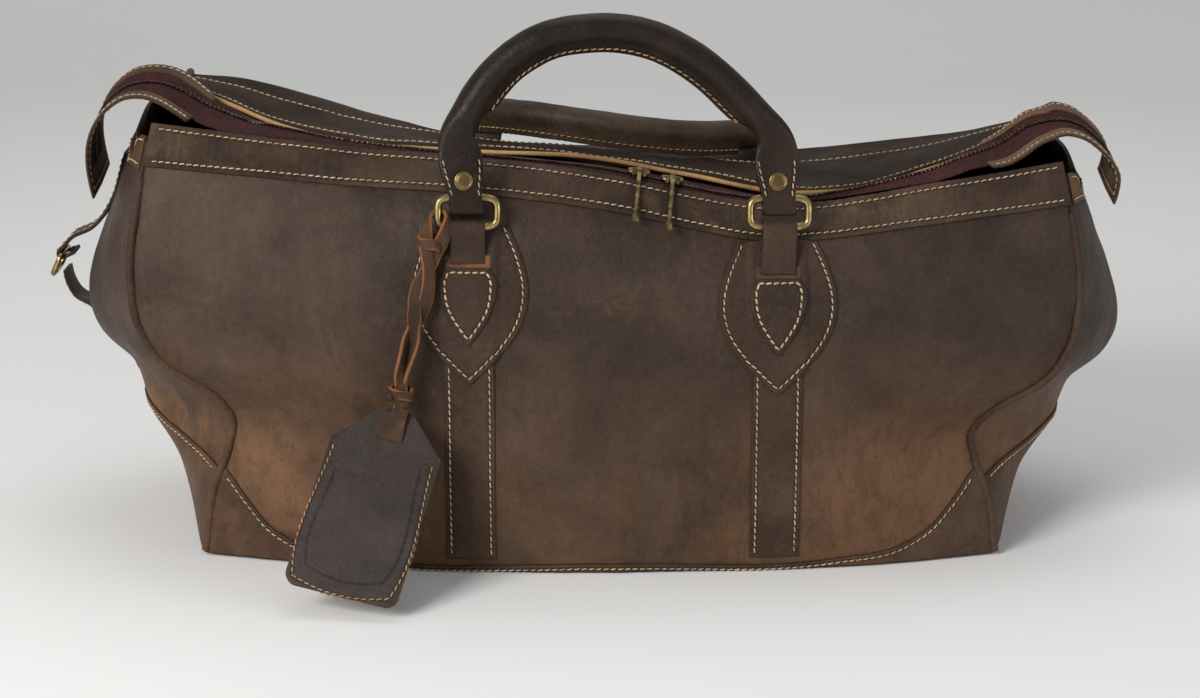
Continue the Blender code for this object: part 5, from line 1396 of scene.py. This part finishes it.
def slider_frame(surface, x, way):
    a = np.linspace(0.2, 0.8, 4000)
    teeth = surface(a, np.full_like(a, 0.5))
    here = read_at(teeth, teeth[:, 0], x)
    there = read_at(teeth, teeth[:, 0], x + way * TRAVEL)
    along = unit(there - here) * way
    place = np.array([np.interp(x, teeth[:, 0], a)])
    return frame_from(here, along, z_hint=outward(surface, place, np.array([0.45]))[0])


def pull_frame(slider):
    """Hinged between the ears, as far down as the CAD's pull can hang before it meets the band."""
    hinge = placed(slider, [(0.0, -0.0056, 0.0042)])[0]
    axis = axis_of(slider, 0)
    forward = unit(np.cross(axis, [0.0, 0.0, 1.0]))
    reach = np.linspace(0.006, PULL_LONG, 12)
    for angle in np.radians(np.arange(5.0, 80.0, 0.5)):
        down = forward * math.cos(angle) - np.cross(forward, axis) * math.sin(angle)
        run = hinge + np.outer(reach, down)
        height = np.minimum(run[:, 2], front_edge(run[:, 0]) * 0.995)
        skin = on_front(run[:, 0], height)
        air = np.sum((run - skin) * outward(on_front, run[:, 0], height), axis=1)
        if air.min() < LIFT + TRIM + PULL_HALF + 2 * GAP:
            break
        rest = down
    return frame_from(hinge, axis, z_hint=-rest)


def build_sliders(surface):
    """Each slider: a flared top plate, two ears with an axle between them and an arched bridge."""
    half = [
        (-0.0062, 0.0014), (-0.0056, 0.0026), (-0.0030, 0.0034), (0.0000, 0.0036),
        (0.0034, 0.0036), (0.0056, 0.0030), (0.0062, 0.0018),
    ]
    outline = half + [(x, -0.0008 - y) for x, y in half[::-1]]
    narrow = np.tile([1.0, 0, 0], (15, 1))
    for hand, x, way in zip(("left", "right"), SLIDER_AT, (-1, 1)):
        frame_ = slider_frame(surface, x, way)
        parts = [plate(outline, 0.0018, 0.0036)]
        for at in (-0.0030, 0.0030):
            near, far = at - 0.0009, at + 0.0009
            ear = [(near, -0.0067), (far, -0.0067), (far, -0.0038), (near, -0.0038)]
            parts.append(plate(ear, 0.0019, 0.0058))
        bow = np.linspace(0, math.pi, 15)
        path = np.stack([np.zeros_like(bow), -0.0012 + 0.0034 * np.cos(bow), 0.0032 + 0.0020 * np.sin(bow)],
                        axis=1)
        parts.append(swept(path, narrow, [section(0.0016, 0.0005, corners=5)] * 15))
        axle = np.stack([np.linspace(-0.0036, 0.0036, 7), np.full(7, -0.0056), np.full(7, 0.0042)], axis=1)
        parts.append(swept(axle, np.tile([0.0, 0, 1.0], (7, 1)), [section(0.0006, 0.0006, count=10)] * 7))
        points, faces = joined(parts)
        add(f"{hand}_zip_slider", placed(frame_, points), faces, BRASS_DARK, f"{hand}_slider",
            (f"{hand}_zip_slider",))
        build_pull(hand, pull_frame(frame_))


def build_pull(hand, frame_):
    """A long slim bar that widens to a cross head and to a bent tip."""
    z = np.concatenate([np.linspace(0.0010, -0.0050, 14), np.linspace(-0.0062, 0.0062 - PULL_LONG, 20),
                        np.linspace(0.0055 - PULL_LONG, -PULL_LONG, 14)])
    down = -z
    head = np.clip(1 - down / 0.0035, 0, 1)
    tip = np.clip((down - PULL_LONG + 0.006) / 0.004, 0, 1)
    bent = np.clip((down - PULL_LONG + 0.005) / 0.005, 0, 1)
    wide = 0.00125 + 0.0009 * head + 0.0009 * tip
    path = np.stack([np.zeros_like(z), -0.0006 * bent, z], axis=1)
    parts = [section(w, 0.00085, corners=4.5, count=20) for w in wide]
    points, faces = swept(path, np.tile([1.0, 0, 0], (len(z), 1)), parts)
    add(f"{hand}_zip_pull", placed(frame_, points), faces, BRASS_DARK, f"{hand}_pull", (f"{hand}_zip_pull",),
        edge=strap_edge(parts, wide))


# ---------------------------------------------------------------- the luggage tag
KNOT = np.array([-0.1090, -0.1510, 0.1050])
SLOT = np.array([-0.1146, -0.1545, 0.0860])
TAG_ACROSS = (0.066, -0.015, -0.0115)
TAG_DOWN = (-0.0175, -0.0655, -0.0865)
TAG_HALF = 0.0315
TAG_LOW = -0.0945
TAG_SHOULDER = -0.0080
TAG_TOP = 0.0150


def tag_width(z):
    """Half the tag's width at a height over its slot: sloping shoulders, straight sides, round corners."""
    sloping = blend(0.0085, TAG_HALF, np.clip((TAG_TOP - z) / (TAG_TOP - TAG_SHOULDER), 0, 1))
    radius = 0.0065
    below = np.clip(radius - (z - TAG_LOW), 0, radius)
    top = np.clip(0.0028 - (TAG_TOP - z), 0, 0.0028)
    return sloping - radius + np.sqrt(radius**2 - below**2) - 0.0028 + np.sqrt(0.0028**2 - top**2)


def tag_plane(frame_, depth):
    """The tag's middle plane, bent a little, at a depth behind (above zero) or before it."""
    def surface(a, z):
        x = a * tag_width(z)
        y = depth + 0.0006 * np.sin(x / TAG_HALF * 1.4) * (z / TAG_LOW)
        return placed(frame_, np.stack([x, y, z + 0.0 * x], axis=-1))

    return surface


def build_tag():
    frame_ = frame_from(SLOT, TAG_ACROSS, z_hint=-np.array(TAG_DOWN))
    upper = TAG_TOP - 0.004 * (1 - np.cos(np.linspace(0, 1.3, 10)))
    lower = TAG_LOW + 0.0088 * (1 - np.sin(np.linspace(0.0, math.pi / 2, 26)))
    z = np.concatenate([upper, np.linspace(0.0112, -0.0855, 160), lower])[::-1]
    a = ticks(-1, 1, 110, 0.012)
    inset = 0.0032
    side = TAG_HALF - inset
    rim = [(side, TAG_SHOULDER - 0.004), (side, TAG_LOW + 0.008), (side - 0.0012, TAG_LOW + 0.0044),
           (side - 0.0045, TAG_LOW + inset)]
    rim = [(-x, h) for x, h in rim] + rim[::-1]
    line = through([(x, 0.0, h) for x, h in rim], 300)
    normal = np.tile(-axis_of(frame_, 1), (len(line), 1))
    face = tag_plane(frame_, -0.0002)
    row_points = face(line[:, 0] / tag_width(line[:, 2]), line[:, 2]) + normal * 0.0020
    row = (row_points, normal)
    slit = 0.0228
    window = [(-slit, -0.0250), (-slit, -0.0790), (-slit + 0.0012, -0.0820), (-slit + 0.004, -0.0832),
              (slit - 0.004, -0.0832), (slit - 0.0012, -0.0820), (slit, -0.0790), (slit, -0.0150)]
    cut = through([(x, 0.0, h) for x, h in window], 300)
    cut_line = face(cut[:, 0] / tag_width(cut[:, 2]), cut[:, 2]) + normal * 0.0020
    layer("tag_front", face, a, z, HIDE_TAG, "tag", ("tag_front", "tag_window_flap"), low=0.0, high=0.0020,
          seams=(row,), grooves=(cut_line,))
    layer("tag_back", tag_plane(frame_, 0.0002), a[::2], z[::2], HIDE_TAG, "tag", ("tag_back",), low=-0.0020,
          high=0.0)
    stitch("tag", ORANGE, *row)
    back_row = (placed(frame_, line + [0, 0.0022, 0]), -normal)
    stitch("tag", ORANGE, *back_row)
    off = 0.0042
    local = [(0.0034, -off - 0.0016, 0.0150), (0.0022, -off - 0.0010, 0.0105), (0.0008, -off, 0.006),
             (0, -off + 0.0006, 0.001), (0, -0.0030, -0.0022), (0, 0, -0.0030), (0, 0.0030, -0.0015),
             (0, off, 0.003),
             (0, off, 0.010)]
    path = through(local, 60)
    wide = smooth(((0, 0.0034), (0.15, 0.0052), (0.35, 0.0074), (0.6, 0.0074), (1.0, 0.0066)),
                  np.linspace(0, 1, 60))
    parts = [section(w, 0.0011, corners=6, count=26) for w in wide]
    points, faces = swept(path, np.tile([1.0, 0, 0], (60, 1)), parts)
    add("tag_tab", placed(frame_, points), faces, HIDE_THONG, "tag", ("tag_tab",),
        edge=strap_edge(parts, wide) + 0.0004)


def build_thong(leg):
    """A leather lace round the ring's side: both ends twist down to a knot over the tag."""
    u = np.linspace(0, 1, 24)
    start, stop = leg + [-0.0016, -0.0058, -0.0110], KNOT + [0.0, 0.0, 0.0060]
    strands = []
    for phase in (math.pi, 0.0):
        turn = phase + 2.6 * math.pi * u
        radius = blend(0.0046, 0.0021, np.sqrt(u))
        round_ = np.stack([radius * np.cos(turn), 0.55 * radius * np.sin(turn), 0 * u], axis=1)
        strands.append(start + (stop - start) * u[:, None] + round_)
    loop = leg + [[-0.0054, 0.0004, -0.0010], [0.0, 0.0056, 0.0014], [0.0054, 0.0, -0.0010]]
    end = [KNOT + [0.0006, -0.0006, 0.0030], KNOT + [0, 0, -0.0012], KNOT - [0.0006, 0, 0.0042]]
    count = 300
    lace = through(np.concatenate([strands[0][::-1], loop, strands[1], end]), count)
    run = np.linspace(0, 1, count)
    twist = 0.8 * np.sin(run * 9) + 0.5 * np.sin(run * 23)
    lace = lace + 0.0006 * np.stack([noise(lace, 0.012, k) for k in (41, 42, 43)], axis=1)
    sides = transported(lace, (1.0, 0.0, 0.0))
    along = unit(np.gradient(lace, axis=0))
    sides = sides * np.cos(twist)[:, None] + np.cross(along, sides) * np.sin(twist)[:, None]
    wide = 0.0037 * (1 + 0.14 * noise(lace, 0.006, 44))
    parts = [section(w, 0.0013, corners=3.5, count=24) for w in wide]
    pieces = [swept(lace, sides, parts)]
    edges = [strap_edge(parts, wide)]
    knots = ((leg + (KNOT - leg) * 0.15 + [-0.0016, -0.0040, 0.0], 0.0056, 0.0040, 1.15, 0.0030),
             (KNOT + [0.0, 0.0, 0.0035], 0.0056, 0.0046, 1.6, 0.0026))
    for centre, across, deep, turns, half in knots:
        u = np.linspace(0, turns * 2 * math.pi, 110)
        coil = np.stack([across * np.cos(u), deep * np.sin(u),
                         0.0032 * np.sin(0.5 * u + 0.5) + 0.0012 * (u / u[-1] - 0.5)], axis=1)
        coil = centre + coil + 0.0004 * noise(centre + coil, 0.006, 45)[:, None]
        up = np.tile(unit(leg - KNOT), (len(u), 1)) + 0.5 * np.stack([np.sin(u), np.cos(u), 0 * u], axis=1)
        band = [section(half, 0.0011, corners=3.5, count=20)] * len(u)
        pieces.append(swept(coil, up, band))
        edges.append(strap_edge(band, [half] * len(u)))
    points, faces = joined(pieces)
    add("tag_thong", points, faces, HIDE_THONG, "tag_cord", ("tag_thong",), edge=np.concatenate(edges))


# ---------------------------------------------------------------- lining and side strap
def build_lining():
    """A cotton bag inside the shell, open at the top below the zip and gathered softly."""
    long, deep = HALF * 0.650, DEEP * 0.85
    count = 150
    turn = np.linspace(0, 2 * math.pi, count + 1)[:-1]
    c, s = np.cos(turn), np.sin(turn)
    outline = np.stack([squarer(c, 0.66), squarer(s, 0.66)], axis=1)
    heights = np.linspace(0.0085, 0.179, 40)
    scale = smooth(((0.0085, 0.9), (0.030, 1.0), (0.120, 1.0), (0.180, 0.93)), heights)
    rings = []
    for wall, order in ((0.0, range(40)), (0.0012, range(39, -1, -1))):
        for k in order:
            ring = np.column_stack([(long * scale[k] - wall) * outline[:, 0],
                                    (deep * scale[k] - wall) * outline[:, 1],
                                    np.full(count, max(heights[k], heights[0] + wall))])
            fold = 1 - 0.006 * (1 + noise(ring * [1, 1, 0.3], 0.025, 51)) * (heights[k] / 0.18)
            rings.append(ring * np.stack([fold, fold, np.ones(count)], axis=1))
    points = np.concatenate(rings)
    faces = []
    for i in range(len(rings) - 1):
        for k in range(count):
            n = (k + 1) % count
            faces.append([i * count + k, i * count + n, (i + 1) * count + n, (i + 1) * count + k])
    faces += [list(range(count))[::-1], [(len(rings) - 1) * count + k for k in range(count)]]
    add("lining_bag", points, faces, COTTON, "shell", ("lining",))


BUCKLE_BAR = np.array([-0.3185, 0.012, 0.1545])
BUCKLE_HALF = (0.0142, 0.0068)  # half the width and height of its frame
SIDE_HALF = 0.0110


def build_side_strap():
    """A strap on the left end folds round a buckle's bar; a stitched tongue rises to it from below."""
    y = BUCKLE_BAR[1]
    w = y / (0.75 * DEEP)
    skin = end_skin(-1)
    bend = 0.0016 + 0.0009

    def on_skin(grid, lift):
        at = np.full_like(grid, w)
        return skin(at, grid) + outward(skin, at, grid, True) * lift

    turn = np.linspace(math.radians(120), math.radians(300), 14)
    arc = [BUCKLE_BAR + bend * np.array([math.cos(u), 0, math.sin(u)]) for u in turn]
    upper = np.concatenate([on_skin(np.array([0.82, 0.79, 0.755, 0.71]), 0.0009),
                            [[-0.3010, y, 0.1695], [-0.3125, y, 0.1640]], arc,
                            [BUCKLE_BAR + [0.0068, 0, 0.0004]]])
    lower = np.concatenate([on_skin(np.array([0.34, 0.37, 0.42, 0.47]), 0.0018),
                            [[-0.3125, y, 0.1300], [-0.3165, y, 0.1385], [-0.3175, y, 0.1440]]])
    for name, path in (("side_strap", upper), ("side_tongue", lower)):
        path = through(path, 110)
        parts = [section(SIDE_HALF, 0.0011, corners=8, count=30)] * len(path)
        sides = np.tile([0.0, 1.0, 0.0], (len(path), 1))
        rows = []
        up = unit(np.cross(np.gradient(path, axis=0), sides))
        up *= np.sign(np.sum(up * [-1.0, 0.0, 0.3], axis=1))[:, None]
        for side in (-1, 1):
            line = path[4:-4] + sides[4:-4] * side * (SIDE_HALF - 0.0024) + up[4:-4] * 0.0011
            rows.append((line, up[4:-4]))
        points, faces = swept(path, sides, parts)
        seam = nearest(points, np.concatenate([dense(line) for line, _ in rows]))
        add(name, points, faces, HIDE_TRIM, "shell", (name,), strap_edge(parts, [SIDE_HALF] * len(path)),
            seam)
        for row in rows:
            stitch("shell", CREAM, *row)
    frame_ = frame_from(BUCKLE_BAR, (0, 1, 0), z_hint=(0.42, 0, 0.90))
    c, s = circle(100)
    x = BUCKLE_HALF[0] * squarer(c, 0.4)
    z = BUCKLE_HALF[1] * (squarer(s, 0.4) - 1)
    wire_loop("side_buckle", frame_, x, z, section(0.0016, 0.0015, count=14), "end_buckle")


# ---------------------------------------------------------------- camera, light and floor
CAMERA_FAR = 1.75  # distance from the camera to what it looks at
CAMERA_LIFT = 14  # degrees over level
CAMERA_LENS = 88  # mm
LOOK_AT = (0.0, 0.0, 0.0966)


def build_studio():
    lift = math.radians(CAMERA_LIFT)
    target = Vector(LOOK_AT)
    lens = bpy.data.cameras.new("camera")
    lens.lens = CAMERA_LENS
    camera = bpy.data.objects.new("camera", lens)
    camera.location = target + Vector((0.0, -math.cos(lift), math.sin(lift))) * CAMERA_FAR
    camera.rotation_euler = (math.radians(90 - CAMERA_LIFT), 0.0, 0.0)
    bpy.context.scene.collection.objects.link(camera)
    bpy.context.scene.camera = camera
    for name, place, size, power, tint in (
        ("key", (-1.2, -1.7, 1.15), 0.9, 41, (1.0, 0.985, 0.96)),
        ("top", (0.2, 0.4, 1.8), 1.4, 7, (1.0, 1.0, 1.0)),
        ("fill", (1.8, -1.3, 0.6), 1.2, 11, (0.97, 0.985, 1.0)),
    ):
        light = bpy.data.lights.new(name, "AREA")
        light.energy, light.size, light.color = power, size, tint
        lamp = bpy.data.objects.new(name, light)
        lamp.location = place
        lamp.rotation_euler = (Vector((0, 0, 0.12)) - Vector(place)).to_track_quat("-Z", "Y").to_euler()
        bpy.context.scene.collection.objects.link(lamp)
    world = bpy.data.worlds.new("studio")
    world.use_nodes = True
    sky = world.node_tree.nodes["Background"]
    sky.inputs["Color"].default_value = (1.0, 1.0, 1.0, 1.0)
    sky.inputs["Strength"].default_value = 0.32
    bpy.context.scene.world = world
    bpy.context.scene.view_settings.view_transform = "Standard"
    g = Graph("pale_floor")
    finish = g.done(g.mix(g.noise(3.0, 3.0), (0.86, 0.86, 0.855), (0.90, 0.90, 0.895)), 0.7)
    mesh = bpy.data.meshes.new("floor")
    back = [(0.0, -3.0), (0.0, 1.6), (0.10, 2.2), (0.45, 2.7), (1.0, 2.9), (3.0, 3.0)]
    points = [(x, y, z - 0.0002) for z, y in back for x in (-4.0, 4.0)]
    mesh.from_pydata(points, [], [[2 * k, 2 * k + 1, 2 * k + 3, 2 * k + 2] for k in range(len(back) - 1)])
    mesh.shade_smooth()
    mesh.materials.append(finish)
    floor = bpy.data.objects.new("floor", mesh)
    bpy.context.scene.collection.objects.link(floor)


def main():
    build_studio()
    build_skins()
    build_boots()
    build_piping()
    build_bands()
    surface = zip_surface(zip_lines())
    build_zip(surface)
    build_zip_tails(surface)
    build_straps_and_shields()
    bars = bar_places()
    build_chapes(bars)
    tops = build_rings(bars)
    for place in ("front", "back"):
        build_handle(place, bars, tops)
    build_sliders(surface)
    leg = placed(tops["front"], [(0.0, 0.0, -0.6 * RING_TALL)])[0]
    leg += (bars["front"][0] - bars["front"][1]) / 2
    leg -= unit(bars["front"][1] - bars["front"][0]) * RING_WIDE / 2
    build_thong(leg)
    build_tag()
    build_lining()
    build_side_strap()
    make_threads()
    for node, finish in (("base_panel", HIDE_TRIM), ("base_board", BOARD)):
        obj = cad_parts[node]
        obj.data.materials.clear()
        obj.data.materials.append(finish)


main()
